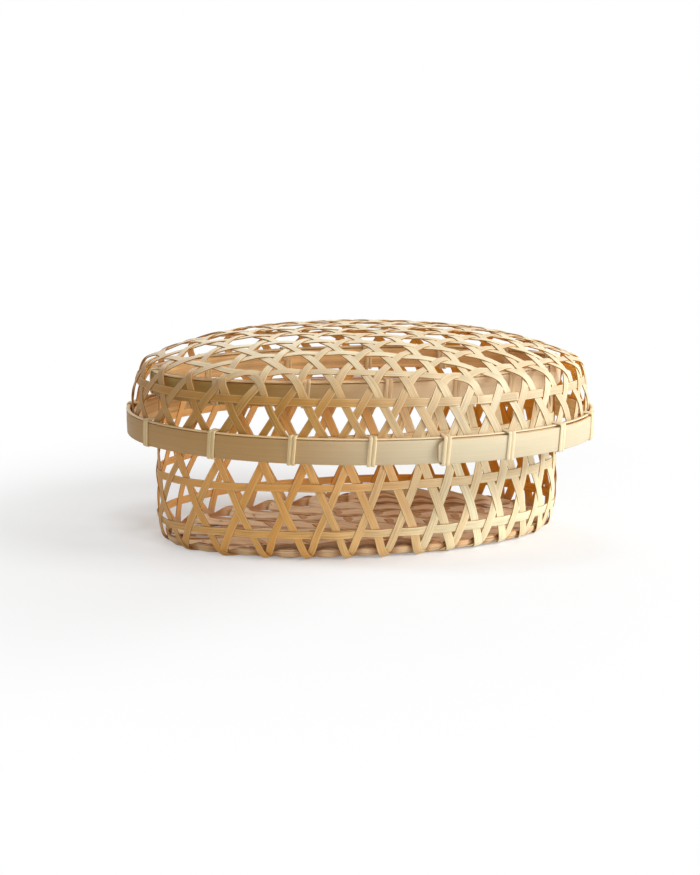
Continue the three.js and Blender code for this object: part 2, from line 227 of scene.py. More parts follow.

# Painted light and shade over the box: painted shade at the -X end, painted light towards +X and on the
# crown, and painted shade, brown, on the core inside near the floor.
PAINTED_SHADE_END = (-98 * MM, -45 * MM)
STRIP_PAINTED_LIGHT_START = -33 * MM
BAND_PAINTED_LIGHT_START = -50 * MM
PAINTED_LIGHT_RUN = 93 * MM
CROWN_PAINTED_LIGHT = (70 * MM, 90 * MM)
UPPER_LID_PAINTED_LIGHT = (70 * MM, 85 * MM)
FLOOR_PAINTED_SHADE = (2.5 * MM, 9 * MM)
# Colours of the painted shade: at the -X end, and on the core near the floor.
PAINTED_SHADE_SKIN = (0.60, 0.385, 0.21, 1)
FLOOR_SHADE_CORE = (0.62, 0.40, 0.22, 1)
# The inner hoop's skin, pale and core: painted light, yellow at -X, and painted shade, a darker orange
# towards +X.
INNER_BAND = ((0.90, 0.66, 0.34), (0.88, 0.54, 0.22), (0.90, 0.60, 0.28))

# Tints: what red, green and blue are scaled by, for each body's strips and for the tones within a piece.
LID_STRIPS = (0.85, 0.96, 1)
# The base's strips are a lighter copy of the lid's: painted light for the base under the lid's overhang.
BASE_STRIPS = (1.27, 1.48, 1.95)
BASE_BAND = (0.90, 1, 0.78)
# Painted light on the core: paler and less orange where the inner faces are lit, towards -X.
LIT_CORE_TINT = (1.05, 1.36, 4.6)
WARM = (1, 0.86, 0.62)
# Painted highlight along the strips' edges.
EDGE_HIGHLIGHT = (1.1, 1.08, 0.95)
WARM_CANE = (1, 0.9, 0.72)
PALE_MAT = (1.02, 1.30, 1.70)
WARM_MAT = (1, 0.86, 0.72)
BROWN_MAT = (0.62, 0.40, 0.26)
FOOT_MAT = (0.95, 0.79, 0.62)

# Shades of the pale skin: on the base's strips, lighter as painted light for the base under the lid's
# overhang, on the lid's strips and on the lid's outer hoop.
BASE_PALE_SHADE = 1.15
LID_PALE_SHADE = 0.90
LID_BAND_PALE_SHADE = 0.81

# Grain, as noise drawn out along a strip: cells per metre along and across it, the share and the start
# of the strip's own seed, detail, and roughness where it isn't a half.
STRIP_FIBRE = (90, 5200, 7.3, 0, 3)
STRIP_STREAK = (22, 1500, 3.1, 5, 2)
STRIP_CLOUD = (55, 160, 5.7, 9, 2)
STRIP_SPECK = (420, 1900, 9.1, 0, 2)
BAND_FIBRE = (40, 5200, 1, 0, 3)
BAND_STREAK = (9, 900, 1, 5, 2)
BAND_CLOUD = (30, 90, 1, 9, 2)
BAND_LINE = (16, 7000, 1, 31, 1)
CANE_FIBRE = (130, 6500, 7, 0, 2)
MAT_FIBRE = (60, 2400, 7, 0, 4, 0.62)
MAT_STREAK = (26, 620, 3, 4, 3)
MAT_FURROW = (34, 1300, 5, 8, 3)

# Shares of fibre, streak and cloud in a strip's grain, and of fibre and streak in the mat's.
STRIP_GRAIN_SHARES = (0.5, 0.32, 0.18)
BAND_GRAIN_SHARES = (0.34, 0.36, 0.3)
MAT_GRAIN_SHARES = (0.5, 0.5)

# Between which amounts of grain a colour turns from dark to light, or a mark begins to show.
STRIP_SKIN_GRAIN = (0.38, 0.60)
STRIP_CORE_GRAIN = (0.34, 0.64)
SPECK_GRAIN = (0.70, 0.78)
BAND_SKIN_GRAIN = (0.34, 0.66)
BAND_CORE_GRAIN = (0.36, 0.64)
LINE_GRAIN = (0.66, 0.74)
CANE_GRAIN = (0.35, 0.65)
MAT_GRAIN = (0.36, 0.56)
FURROW_GRAIN = (0.60, 0.68)

# Dark and light tone of a colour in its grain, as shares of it.
STRIP_SKIN_TONES = (0.66, 1.16)
# Tones of the pale of the painted light, and lighter ones for the upper lid.
STRIP_PALE_TONES = (0.80, 1.05)
UPPER_PALE_TONES = (0.94, 1.2)
# Tones of the core's painted light.
STRIP_LIT_CORE_TONES = (0.76, 1.08)
STRIP_CORE_TONES = (0.72, 1.15)
BAND_SKIN_TONES = (0.90, 1.04)
BAND_PALE_TONES = (0.94, 1.02)
BAND_CORE_TONES = (0.7, 1.1)
CANE_TONES = (0.78, 1.06)
CANE_PALE_TONES = (0.85, 1.02)
MAT_DARK_SHADE = 0.95

# Marks over a colour: how strongly each is laid on, and the shade of its own colour.
# Painted shade at the -X end.
PAINTED_SHADE_MARK = (0.55, 1)
WARM_MARK = (0.75, 0.9)
# Dark cut at the strips' sides: partly their own cut and partly painted shade under their edges.
CUT_AND_SHADE_MARK = (0.9, 0.42)
SPECK_MARK = (0.35, 0.4)
LINE_MARK = (0.28, 0.6)
WARM_CANE_MARK = (0.3, 0.95)
# Painted highlight on the cane's edges.
CANE_HIGHLIGHT_MARK = (0.6, 1.12)
WARM_MAT_MARK = (0.2, 0.95)
FURROW_MARK = (0.62, 0.85)
# Painted shade at the mat's edges, in the crevices between strips.
MAT_EDGE_SHADE_MARK = (0.85, 0.7)
# Painted shade where the mat is pinched or tucked behind other strips, and on its underside.
PINCHED_SHADE_MARK = (0.75, 0.8)

# Where marks begin and are full: from a strip's middle, as shares of its width or as lengths, and
# between its inner and its outer side.
# Painted highlight along the strips' edges.
EDGE_HIGHLIGHT_SHARES = (0.34, 0.46)
# Dark cut, partly the strips' own cut sides and partly painted shade.
CUT_AND_SHADE_SHARES = (0.458, 0.49)
# Painted highlight on the cane's edges.
CANE_HIGHLIGHT_RUN = (0.45 * MM, 0.8 * MM)
# Painted shade at the mat's edges.
MAT_EDGE_SHADE_RUN = (4.1 * MM, 5.3 * MM)
STRIP_SIDE = (0.15, 0.85)
BAND_SIDE = (0.2, 0.8)
# Painted shade on the mat, from full at side nought to none at a half.
MAT_SHADE_SIDE = (0.0, 0.5)

# Strength of the painted highlight on the strips' edges and how much the painted light adds to it, and
# the warmth that the painted light takes away.
EDGE_HIGHLIGHT_STRENGTH = 0.3
EDGE_HIGHLIGHT_GAIN = 0.3
WARMTH_LIT_SHARE = 0.6

# Roughness: its plain amount, what the outer side adds to it and what the fibre adds. Then gloss, as the
# shader's specular level, the depth of the fine relief, and how far a furrow goes down in it.
STRIP_ROUGHNESS = (0.6, -0.18, 0.12)
BAND_ROUGHNESS = (0.58, -0.2, 0.1)
CANE_ROUGHNESS = (0.46, 0, 0.15)
MAT_ROUGHNESS = (0.66, 0, 0.12)
SPECULAR = 0.32
MAT_SPECULAR = 0.3
STRIP_RELIEF = 0.12 * MM
BAND_RELIEF = 0.1 * MM
CANE_RELIEF = 0.08 * MM
MAT_RELIEF = 0.6 * MM
FURROW_RELIEF_SHARE = 0.5

# Studio floor: its half width, the two tones of its paper and their flecks per metre, and the shares of
# its shade that the camera sees, out to a reach from the box, less on the lit side and more close to the
# foot's slanted oval.
FLOOR_HALF = 4.0
PAPER = ((0.90, 0.92, 0.95, 1), (0.92, 0.94, 0.97, 1))
PAPER_FLECKS = 300
SHADE_REACH = (110 * MM, 270 * MM)
SHADE_SHARE = 0.47
LIT_SIDE = (-20 * MM, 70 * MM)
LIT_SIDE_SHARE = 0.33
LIT_WAY = (0.8, -0.6)
FOOT_REACH = (90 * MM, 122 * MM)
FOOT_SHADE_SHARE = 0.6
FOOT_SLANT = 0.4
FOOT_NARROWNESS = 3.4

# Surroundings as light.
WORLD_COLOUR = (1.0, 0.96, 0.90, 1)
WORLD_STRENGTH = 0.32

# Soft lamps: name, place, aim, size, watts and colour.
LAMPS = (
    ("key_lamp", (0.70, -0.26, 0.56), (0, 0, 0.04), 0.36, 7.1, (1.0, 0.99, 0.97)),
    ("front_lamp", (0.05, -0.80, 0.30), (0, 0, 0.02), 0.30, 0.55, (1, 0.98, 0.95)),
    ("back_lamp", (-0.30, 0.70, 0.55), (0, 0, 0.02), 0.50, 2.2, (1, 0.99, 0.96)),
)

# Camera as fitted to the photograph, its focal length and shift in pixels of a picture 875 high.
PHOTO_HEIGHT = 875
FOCAL_PIXELS = 1430
SHIFT_PIXELS = (-10, 0.4)
SENSOR = 36
ELEVATION = math.radians(12.5)
DISTANCE = 650 * MM
AIM_HEIGHT = 43.2 * MM
CLIP = (10 * MM, 20)

# Stations round an outline, a closed hoop, the outer hoop's end and the rest of it, along a bend of the
# cane and along one turn of the foot's strip.
OUTLINE_STATIONS = 2881
HOOP_STATIONS = 240
TIP_STATIONS = 9
LAPPED_STATIONS = 260
BEND_STATIONS = 5
TURN_STATIONS = 10

# Seeds of the random draws, and how far the phases of the mat's waves and the strips' own seeds spread.
LID_SEED = 11
BASE_SEED = 5
FOOT_SEED = 23
PHASE_SPREAD = 6
SEED_SPREAD = 9

# Tone and seed of the strips that draw none: the foot's strip, and what makes the hoops and the
# lashings differ, the latter by their number and by their rim's height in metres.
FOOT_STRIP_TONE = 0.1
FOOT_STRIP_SEED = 2.6
HOOP_TONE = 0.5
HOOP_SEED_STEP = 3.7
LASHING_TONE_STEP = 0.618
LASHING_SEED_STEP = 0.37
LASHING_SEED_RISE = 11

# Angle in degrees past which an edge is sharp.
SHARP = 38


def smoothstep(value, low, high):
    """Zero below low and one above high, with a smooth cubic rise between."""
    t = np.clip((value - low) / (high - low), 0, 1)
    return t * t * (3 - 2 * t)


def unit(vectors):
    """Each vector divided by its length."""
    return vectors / np.linalg.norm(vectors, axis=-1, keepdims=True)


def run_length(points):
    """Length along a line of points, from its start to each of them."""
    return np.concatenate([[0], np.cumsum(np.linalg.norm(np.diff(points, axis=0), axis=1))])


class Oval:
    """Outline of the lid or the base: an ellipse whose half sizes shrink by an inset.

    Lid and Base add how many strips cross each side, the heights of the wall's rows and of the
    strips' tails, and the surfaces that the weave lies on.
    """

    def __init__(self, length, depth):
        self.half = np.array([length, depth]) / 2
        self.around = 2 * sum(self.sides)
        self.table = np.linspace(0, 2 * np.pi, OUTLINE_STATIONS)
        self.run = run_length(self.half * np.stack([np.cos(self.table), np.sin(self.table)], 1))
        self.length = self.run[-1]

    def angle(self, share):
        """Angle reached after a share of the outline's length from the +X end."""
        return np.interp(np.mod(share, 1) * self.length, self.run, self.table)

    def crowd(self, share):
        """The share drawn towards the side where the weave stands closer."""
        amount, middle = self.crowding
        return share - amount * np.sin(2 * np.pi * (share - middle))

    def point(self, angle, inset, height):
        """x and y are the inset half sizes times cosine and sine of the angle, z is the height."""
        x = (self.half[0] - inset) * np.cos(angle)
        y = (self.half[1] - inset) * np.sin(angle)
        return np.stack(np.broadcast_arrays(x, y, height), -1).astype(float)


class Lid(Oval):
    """The lid, with the net of its weave: a field over the crown and one row down the wall."""

    sides, start, crowding = LID_SIDES, LID_START, LID_CROWDING
    heights, tail = (LID_SHOULDER, LID_CROSS), LID_TAIL

    def wall(self, share, height):
        """The wall stands straight in the rim, then leans in with the square of its height."""
        rise = np.clip((height - LID_HOOP) / (LID_SHOULDER - LID_HOOP), 0, None)
        inset = WALL_INSET + (LID_SHOULDER_INSET - WALL_INSET) * rise**2
        point = self.point(self.angle(self.crowd(share)), inset, height)
        point[..., 0] += CROWN_SHIFT * rise**2
        return point

    def field(self, flat):
        """A dome over the shoulder's oval: it falls with a power of the reach from its middle."""
        half = self.half - LID_SHOULDER_INSET
        reach = np.hypot((flat[:, 0] - CROWN_SHIFT) / half[0], flat[:, 1] / half[1])
        drop = (LID_CROWN - LID_SHOULDER) * reach**CROWN_POWER
        return np.column_stack([flat, LID_CROWN - drop])


class Base(Oval):
    """The base, with the net of its weave: a field over the floor and three rows up the wall."""

    sides, start, crowding = BASE_SIDES, BASE_START, BASE_CROWDING
    heights, tail = FOOT_CROSS + BASE_PITCH * np.arange(4), BASE_TAIL

    def wall(self, share, height):
        """The wall narrows from its belly to the rim and curls in at the foot with a square."""
        curl = np.clip(1 - np.clip(height, 0, None) / FOOT, 0, None)
        wall = BELLY_INSET + (WALL_INSET - BELLY_INSET) * smoothstep(height, BELLY, SHOULDER)
        inset = wall + FOOT_INSET * curl**2
        return self.point(self.angle(self.crowd(share)), inset, np.maximum(height, FLOOR_LEVEL))

    def field(self, flat):
        """The floor lies level."""
        return np.column_stack([flat, np.full(len(flat), FLOOR_LEVEL)])


def hexagon_field(front, end, corner):
    """Points and triangles of a hexagonal patch, and its border from the front's left corner."""
    cells = [
        (column, row)
        for row in range(end + corner + 1)
        for column in range(max(-row, -corner), min(front, front + end - row) + 1)
    ]
    at = {cell: place for place, cell in enumerate(cells)}
    triangles = []
    for (column, row), here in at.items():
        right = at.get((column + 1, row))
        above = at.get((column, row + 1))
        above_left = at.get((column - 1, row + 1))
        if right is not None and above is not None:
            triangles.append((here, right, above))
        if above is not None and above_left is not None:
            triangles.append((here, above, above_left))
    walk = [(front, 1, 0), (end, 0, 1), (corner, -1, 1), (front, -1, 0), (end, 0, -1), (corner, 1, -1)]
    border, cell = [], (0, 0)
    for count, column, row in walk:
        for _ in range(count):
            border.append(at[cell])
            cell = (cell[0] + column, cell[1] + row)
    return np.array(cells), triangles, border


def wall_rows(ring, rows, first_new, upward):
    """Rings of points above or below a ring, each half a step on, and the triangles between."""
    count = len(ring)
    rings, triangles = [list(ring)], []
    for row in range(rows):
        last = rings[-1]
        plain_core = [first_new + row * count + place for place in range(count)]
        for place in range(count):
            following = (place + 1) % count
            if upward:
                triangles.append((last[place], last[following], plain_core[place]))
                triangles.append((plain_core[place], last[following], plain_core[following]))
            else:
                triangles.append((last[place], plain_core[place], last[following]))
                triangles.append((last[following], plain_core[place], plain_core[following]))
        rings.append(plain_core)
    return rings, triangles


def relaxed(count, triangles, border, border_places):
    """Places where each inner point is the mean of its neighbours, solved as one linear system."""
    links = np.zeros((count, count))
    for a, b, c in triangles:
        links[[a, b, b, c, c, a], [b, a, c, b, a, c]] = 1
    system = np.diag(links.sum(1)) - links
    system[border] = 0
    system[border, border] = 1
    known = np.zeros((count, 2))
    known[border] = border_places
    return np.linalg.solve(system, known)


class Weave:
    """Strips that cross at the middle of every edge of a triangle net, seen from outside.

    The four arms of a crossing follow round it. A strip that comes in by one arm leaves by the
    one across from it. It passes over on an even arm and under on an odd one.
    """

    def __init__(self, triangles):
        opposite = {}
        for a, b, c in triangles:
            opposite[a, b], opposite[b, c], opposite[c, a] = c, a, b
        self.edges = sorted({tuple(sorted(edge)) for edge in opposite})
        at = {edge: place for place, edge in enumerate(self.edges)}

        def place_of(a, b):
            return -1 if a is None or b is None else at[min(a, b), max(a, b)]

        self.arms = np.array([
            [
                place_of(opposite.get((end, start)), end),
                place_of(end, opposite.get((start, end))),
                place_of(opposite.get((start, end)), start),
                place_of(start, opposite.get((end, start))),
            ]
            for start, end in self.edges
        ])
        self.ends = np.array(self.edges)

    def walk(self, crossing, arm):
        """Crossings met from one on, with the arm that each is left by, and whether they close."""
        path = [(crossing, arm)]
        while self.arms[crossing, arm] >= 0:
            onward = int(self.arms[crossing, arm])
            arm = (list(self.arms[onward]).index(crossing) + 2) % 4
            crossing = onward
            if (crossing, arm) == path[0]:
                return path, True
            path.append((crossing, arm))
        return path, False

    def strips(self):
        """Every strip once, as its crossings, the arms it leaves them by, and whether it closes."""
        seen, found = set(), []
        for crossing in range(len(self.edges)):
            for arm in (0, 1):
                if (crossing, arm) in seen:
                    continue
                path, closed = self.walk(crossing, arm)
                if not closed:
                    last, out = path[-1]
                    path, _ = self.walk(last, (out + 2) % 4)
                seen.update((place, out % 2) for place, out in path)
                found.append((np.array(path), closed))
        return found


def smooth_run(knots, samples):
    """Cubic curve through the knots: each slope is the mean of the two chords beside it,
    weighted by the other's length. Columns past the first three follow the same curve."""
    steps = np.diff(knots, axis=0)
    chords = np.linalg.norm(steps[:, :3], axis=1)[:, None]
    before, after = chords[:-1], chords[1:]
    middle = (steps[:-1] * after / before + steps[1:] * before / after) / (before + after)
    slopes = np.concatenate([steps[:1] / chords[:1], middle, steps[-1:] / chords[-1:]])
    t = (np.arange(samples) / samples)[None, :, None]
    start, end = knots[:-1, None], knots[1:, None]
    out, into = (slopes[:-1] * chords)[:, None], (slopes[1:] * chords)[:, None]
    curve = (
        start * (2 * t**3 - 3 * t**2 + 1)
        + out * (t**3 - 2 * t**2 + t)
        + end * (3 * t**2 - 2 * t**3)
        + into * (t**3 - t**2)
    )
    return np.concatenate([curve.reshape(-1, knots.shape[1]), knots[-1:]])


def strip_section(width, thick, edge, crown):
    """Nine corners of a flat strip: across and out from its middle, with bevelled edges and a
    slightly raised outer face, in order from the left of the outer face to the right."""
    w, t = width / 2, thick / 2
    return np.array([
        [-w + edge, t], [0, t + crown], [w - edge, t], [w, t - edge], [w, -t + edge],
        [w - edge, -t], [-w + edge, -t], [-w, -t + edge], [-w, t - edge],
    ])


def carried(path, normals, section, width_share=1.0, roll=0.0):
    """The section carried along a path: across is the direction of travel crossed with the
    normal, turned by the roll, and out is square to both."""
    travel = unit(np.gradient(path, axis=0))
    across = unit(np.cross(travel, normals))
    out = np.cross(across, travel)
    roll = np.broadcast_to(roll, len(path))[:, None]
    turned = across * np.cos(roll) + out * np.sin(roll)
    risen = out * np.cos(roll) - across * np.sin(roll)
    share = np.broadcast_to(width_share, len(path))[:, None, None]
    return path[:, None] + turned[:, None] * section[:, :1] * share + risen[:, None] * section[:, 1:]


class Surface:
    """Grids of points gathered into one mesh. The UV map holds metres along and across a strip,
    and the strip attribute its tone, its outer side and its seed."""

    def __init__(self):
        self.points, self.uvs, self.strips, self.faces = [], [], [], []
        self.count = 0

    def add_band(self, grid, along, across, side, tone, seed, closed=False):
        """A closed section at each of the stations: four-cornered faces join one station to the
        next, and an open band gets a face over each end."""
        stations, around = grid.shape[:2]
        index = self.count + np.arange(stations * around).reshape(stations, around)
        here = index if closed else index[:-1]
        onward = np.roll(index, -1, 0) if closed else index[1:]
        quads = np.stack([here, np.roll(here, -1, 1), np.roll(onward, -1, 1), onward], -1)
        self.faces += quads.reshape(-1, 4).tolist()
        if not closed:
            self.faces += [index[0, ::-1].tolist(), index[-1].tolist()]
        shape = (stations, around)
        along = np.broadcast_to(np.asarray(along)[:, None], shape)
        across = np.broadcast_to(across, shape)
        side = np.broadcast_to(side, shape)
        self.points.append(grid.reshape(-1, 3))
        self.uvs.append(np.stack([along, across], -1).reshape(-1, 2))
        self.strips.append(np.stack([np.full(shape, tone), side, np.full(shape, seed)], -1).reshape(-1, 3))
        self.count += stations * around

    def made(self, name, material, place):
        """The mesh object, at the origin, with its place in its points."""
        mesh = bpy.data.meshes.new(name)
        mesh.from_pydata(place(np.concatenate(self.points)), [], self.faces)
        corners = np.empty(len(mesh.loops), dtype=np.int32)
        mesh.loops.foreach_get("vertex_index", corners)
        uv = mesh.uv_layers.new(name="UVMap")
        uv.data.foreach_set("uv", np.concatenate(self.uvs)[corners].astype(np.float32).ravel())
        strip = mesh.attributes.new("strip", "FLOAT_VECTOR", "POINT")
        strip.data.foreach_set("vector", np.concatenate(self.strips).astype(np.float32).ravel())
        mesh.polygons.foreach_set("use_smooth", np.ones(len(mesh.polygons), dtype=bool))
        mesh.set_sharp_from_angle(angle=math.radians(SHARP))
        mesh.materials.append(material)
        mesh.validate()
        mesh.update()
        piece = bpy.data.objects.new(name, mesh)
        bpy.context.scene.collection.objects.link(piece)
        return piece


def box_forms(sizes):
    """The lid and the base, and how each is set in the frame."""
    lid = Lid(sizes.lid_length, sizes.lid_depth)
    base = Base(sizes.lid_length - 2 * sizes.end_overhang, sizes.lid_depth - 2 * sizes.side_overhang)
    cos, sin = math.cos(sizes.base_turn), math.sin(sizes.base_turn)
    turn = np.array([[cos, sin, 0], [-sin, cos, 0], [0, 0, 1]])
    lift = np.array([0, 0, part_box("lid_rim_outer_hoop")[0].z])
    return lid, base, (lambda points: points + lift), (lambda points: points @ turn)


def arm_places(weave, places, tails):
    """Where each arm of each crossing leads: the next crossing, or the strip's tail."""
    onward = places[np.maximum(weave.arms, 0)]
    return np.where((weave.arms >= 0)[..., None], onward, tails)


def weave_surface(weave, places, tails, lifts, sizes, broader, splices, seed):
    """Every strip of a weave as a band.

    Its middle line runs through its crossings, moved out where it passes over and in where it
    passes under, and wanders a little to either side. A hoop's two ends lap each other.
    """
    random = np.random.default_rng(seed)
    reach = arm_places(weave, places, tails)
    along = unit(reach[:, :2] - reach[:, 2:])
    normals = unit(np.cross(along[:, 0], along[:, 1]))
    layer = SPLICE_LAYER_SHARE * sizes.strip_thickness
    section = strip_section(sizes.strip_width, sizes.strip_thickness, STRIP_EDGE, STRIP_CROWN)
    side = (section[:, 1] > 0).astype(float)
    # On the floor the outer face looks down: it stays over the table and the inner face over it.
    low = FLOOR_CLEARANCE + (1 - side) * sizes.strip_thickness
    surface = Surface()
    for path, closed in weave.strips():
        crossings, arms = path.T
        over = np.where(arms % 2 == 0, 1.0, -1.0)
        if closed:
            near = np.linalg.norm(places[crossings][:, None] - splices, axis=2).min(1)
            order = (near.argmin() + np.arange(len(crossings) + SPLICED)) % len(crossings)
            crossings, over = crossings[order], over[order]
        out = over * lifts[crossings]
        if closed:
            out[:SPLICED] -= layer * (over[:SPLICED] < 0)
            out[-SPLICED:] += layer * (over[-SPLICED:] > 0)
        outward = normals[crossings]
        knots = places[crossings] + out[:, None] * outward
        if closed:
            first = knots[0] + SPLICE_END_SHARE * (knots[0] - knots[1])
            last = knots[-1] + SPLICE_END_SHARE * (knots[-1] - knots[-2])
        else:
            first = tails[crossings[0], (arms[0] + 2) % 4] - out[0] * outward[0]
            last = tails[crossings[-1], arms[-1]] - out[-1] * outward[-1]
        knots = np.concatenate([[first], knots, [last]])
        outward = np.concatenate([outward[:1], outward, outward[-1:]])
        curve = smooth_run(np.hstack([knots, outward]), STRIP_SAMPLES)
        line, facing = curve[:, :3], unit(curve[:, 3:])
        run = run_length(line)
        sway = np.sin(run[:, None] / WAVES + random.uniform(0, 2 * np.pi, 4)).T
        across = unit(np.cross(np.gradient(line, axis=0), facing))
        line = line + across * (WANDER * (sway[0] + SECOND_WANDER_SHARE * sway[1]))[:, None]
        width = 1 + random.uniform(-SPREAD_SHARE, SPREAD_SHARE) + SWAY_SHARE * sway[2]
        width += broader * smoothstep(line[:, 0], *BROADER_RUN)
        grid = carried(line, facing, section, width, ROLL * sway[3])
        grid[..., 2] = np.maximum(grid[..., 2], low)
        run = run + random.uniform(0, SEED_SPREAD)
        surface.add_band(grid, run, section[:, 0], side, random.uniform(), random.uniform(0, SEED_SPREAD))
    return surface


def chart_middle(shares, heights, ends):
    """Middle of each edge on the wall's chart, where shares go round from one to nought."""
    first, second = shares[ends[:, 0]], shares[ends[:, 1]]
    apart = second - first
    return first + (apart - np.round(apart)) / 2, heights[ends].mean(1)


def carried_on(weave, share, height, form):
    """Tails of the strips: each goes on in line with the crossing before, to its end's height."""
    before = np.maximum(np.roll(weave.arms, 2, 1), 0)
    apart = share[:, None] - share[before]
    climb = height[:, None] - height[before]
    slope = (apart - np.round(apart)) / np.where(np.abs(climb) < LEVEL_CLIMB, 1, climb)
    return form.wall(share[:, None] + slope * (form.tail - height[:, None]), form.tail)


def woven_net(form):
    """The net of the lid or the base: a relaxed hexagonal field, and rows along the wall.

    A crossing is the middle of one of the net's edges, taken on the wall's chart where the edge lies
    on the wall and in the flat field elsewhere. Besides the weave, its crossings and its tails, this
    gives the field's cells, its border and its flat places.
    """
    cells, triangles, border = hexagon_field(*form.sides)
    count, rows = len(cells), len(form.heights) - 1
    upward = form.heights[-1] > form.heights[0]
    rings, wall_triangles = wall_rows(border, rows, count, upward)
    share, height = np.full((2, count + rows * form.around), np.nan)
    for row, ring in enumerate(rings):
        share[ring] = form.start + (np.arange(form.around) + row / 2) / form.around
        height[ring] = form.heights[row]
    flat = np.zeros((len(share), 2))
    flat[:count] = relaxed(count, triangles, border, form.wall(share[border], form.heights[0])[:, :2])
    if upward:
        triangles = [triangle[::-1] for triangle in triangles]
    weave = Weave(triangles + wall_triangles)
    along, up = chart_middle(share, height, weave.ends)
    rank = np.full(len(share), -1)
    rank[border] = np.arange(form.around)
    steps = np.abs(np.diff(rank[weave.ends], axis=1))[:, 0]
    on_border = (rank[weave.ends] >= 0).all(1)
    on_wall = ~np.isnan(up) & (~on_border | (steps == 1) | (steps == form.around - 1))
    wall = form.wall(np.where(on_wall, along, 0), np.where(on_wall, up, 0))
    places = np.where(on_wall[:, None], wall, form.field(flat[weave.ends].mean(1)))
    tails = carried_on(weave, np.nan_to_num(along), np.nan_to_num(up), form)
    return weave, places, tails, cells, border, flat[:count]


def lid_weave(sizes):
    """The lid's weave, its crossings, its tails and the lift of each crossing."""
    weave, places, tails, *_ = woven_net(box_forms(sizes)[0])
    return weave, places, tails, np.full(len(places), LIFT * sizes.strip_thickness)


def base_weave(sizes):
    """The same of the base, and the knots of the mat strips, which run along the floor's rows.

    A mat strip passes through holes and crossings in turn, so those crossings are lifted further.
    """
    base = box_forms(sizes)[1]
    weave, places, tails, cells, border, flat = woven_net(base)
    row = cells[:, 1]
    level = row[weave.ends.clip(max=len(cells) - 1)]
    in_row = (weave.ends < len(cells)).all(1) & (level[:, 0] == level[:, 1])
    lifts = np.where(in_row, MAT_LIFT, LIFT) * sizes.strip_thickness
    holes = base.field(flat)
    holes[border, 2] = FOOT_CROSS
    rows = []
    for number in range(row.max() + 1):
        hole = holes[row == number]
        knots = np.empty((2 * len(hole) - 1, 3))
        knots[::2] = hole
        knots[1::2] = (hole[1:] + hole[:-1]) / 2
        rows.append(knots)
    return (weave, places, tails, lifts), rows


class Rim:
    """A rim's outline, height and lashings, and the lap of its outer hoop."""

    def __init__(self, form, low, height, first_step, lap_lashing):
        self.oval, self.low, self.height = form, low, height
        steps = 2 * np.arange(form.around // 2) + first_step
        self.lashings = form.crowd(form.start + steps / form.around)
        begin = self.lashings[lap_lashing] - LAP_TIP_GAP / form.length
        self.start = form.angle(begin)
        self.tip, self.full, self.settled = (
            np.mod(form.angle(begin + length / form.length) - self.start, 2 * np.pi)
            for length in (LAP_TIP, LAP, LAP + LAP_BLEND)
        )

    def rise(self, past):
        """How far the outer hoop stands out beyond its own run, past its visible end."""
        return (OUTER_HOOP + GAP) * (1 - smoothstep(past, self.full, self.settled))


def rims(sizes):
    """For the lid and then the base: the body, its rim and how it is set in the frame."""
    lid, base, lid_place, base_place = box_forms(sizes)
    lid_rim = Rim(lid, 0, LID_HOOP, LID_FIRST_STEP, LID_LAP_LASHING)
    base_rim = Rim(base, BASE_RIM_TOP - BASE_HOOP, BASE_HOOP, BASE_FIRST_STEP, BASE_LAP_LASHING)
    return ("lid", lid_rim, lid_place), ("base", base_rim, base_place)


def band_section(thick, height, edge):
    """Corners of an upright band as depth from its outer face and height over its lower edge,
    down the slightly full outer face and up the inner one, with rounded edges."""
    bevel, fullness = BAND_BEVEL_SHARE * edge, BAND_FULLNESS_SHARE * thick
    return np.array([
        [bevel, height - bevel], [0, height - edge], [-fullness, height / 2], [0, edge],
        [bevel, bevel], [edge, 0], [thick - edge, 0], [thick, edge],
        [thick, height - edge], [thick - edge, height], [edge, height],
    ])


def hoop_surface(rim, inset, thick, low, height, edge, rise, pasts, closed, shrink=1.0):
    """A band round the rim: the section's depth shrinks the oval and its height lifts it."""
    section = band_section(thick, height, edge)
    depth = inset + section[:, 0] - rise[:, None]
    middle = height / 2
    shrink = np.broadcast_to(shrink, len(pasts))[:, None]
    up = low + middle + (section[:, 1] - middle) * shrink
    grid = rim.oval.point((rim.start + pasts)[:, None], depth, up)
    surface = Surface()
    side = (section[:, 0] < thick / 2).astype(float)
    seed = HOOP_SEED_STEP * inset / MM + height / MM
    surface.add_band(grid, run_length(grid[:, 0]), section.sum(1), side, HOOP_TONE, seed, closed)
    return surface


def outer_hoop(rim):
    """A spiral band: it starts with a rounded end outside its own run, settles onto it and
    ends under its start. The end's height follows a quarter circle."""
    tip = rim.tip * (1 - np.cos(np.linspace(0, np.pi / 2, TIP_STATIONS)))
    pasts = np.concatenate([tip[:-1], np.linspace(rim.tip, 2 * np.pi + rim.full, LAPPED_STATIONS)])
    near = np.clip(pasts / rim.tip, 0, 1)
    shrink = LAP_TIP_SHARE + (1 - LAP_TIP_SHARE) * np.sqrt(1 - (1 - near) ** 2)
    rise = rim.rise(pasts)
    return hoop_surface(rim, 0, OUTER_HOOP, rim.low, rim.height, OUTER_EDGE, rise, pasts, False, shrink)


def closed_hoop(rim, inset, thick, low, height, edge):
    """A band that closes on itself."""
    pasts = np.linspace(0, 2 * np.pi, HOOP_STATIONS, endpoint=False)
    return hoop_surface(rim, inset, thick, low, height, edge, np.zeros(HOOP_STATIONS), pasts, True)


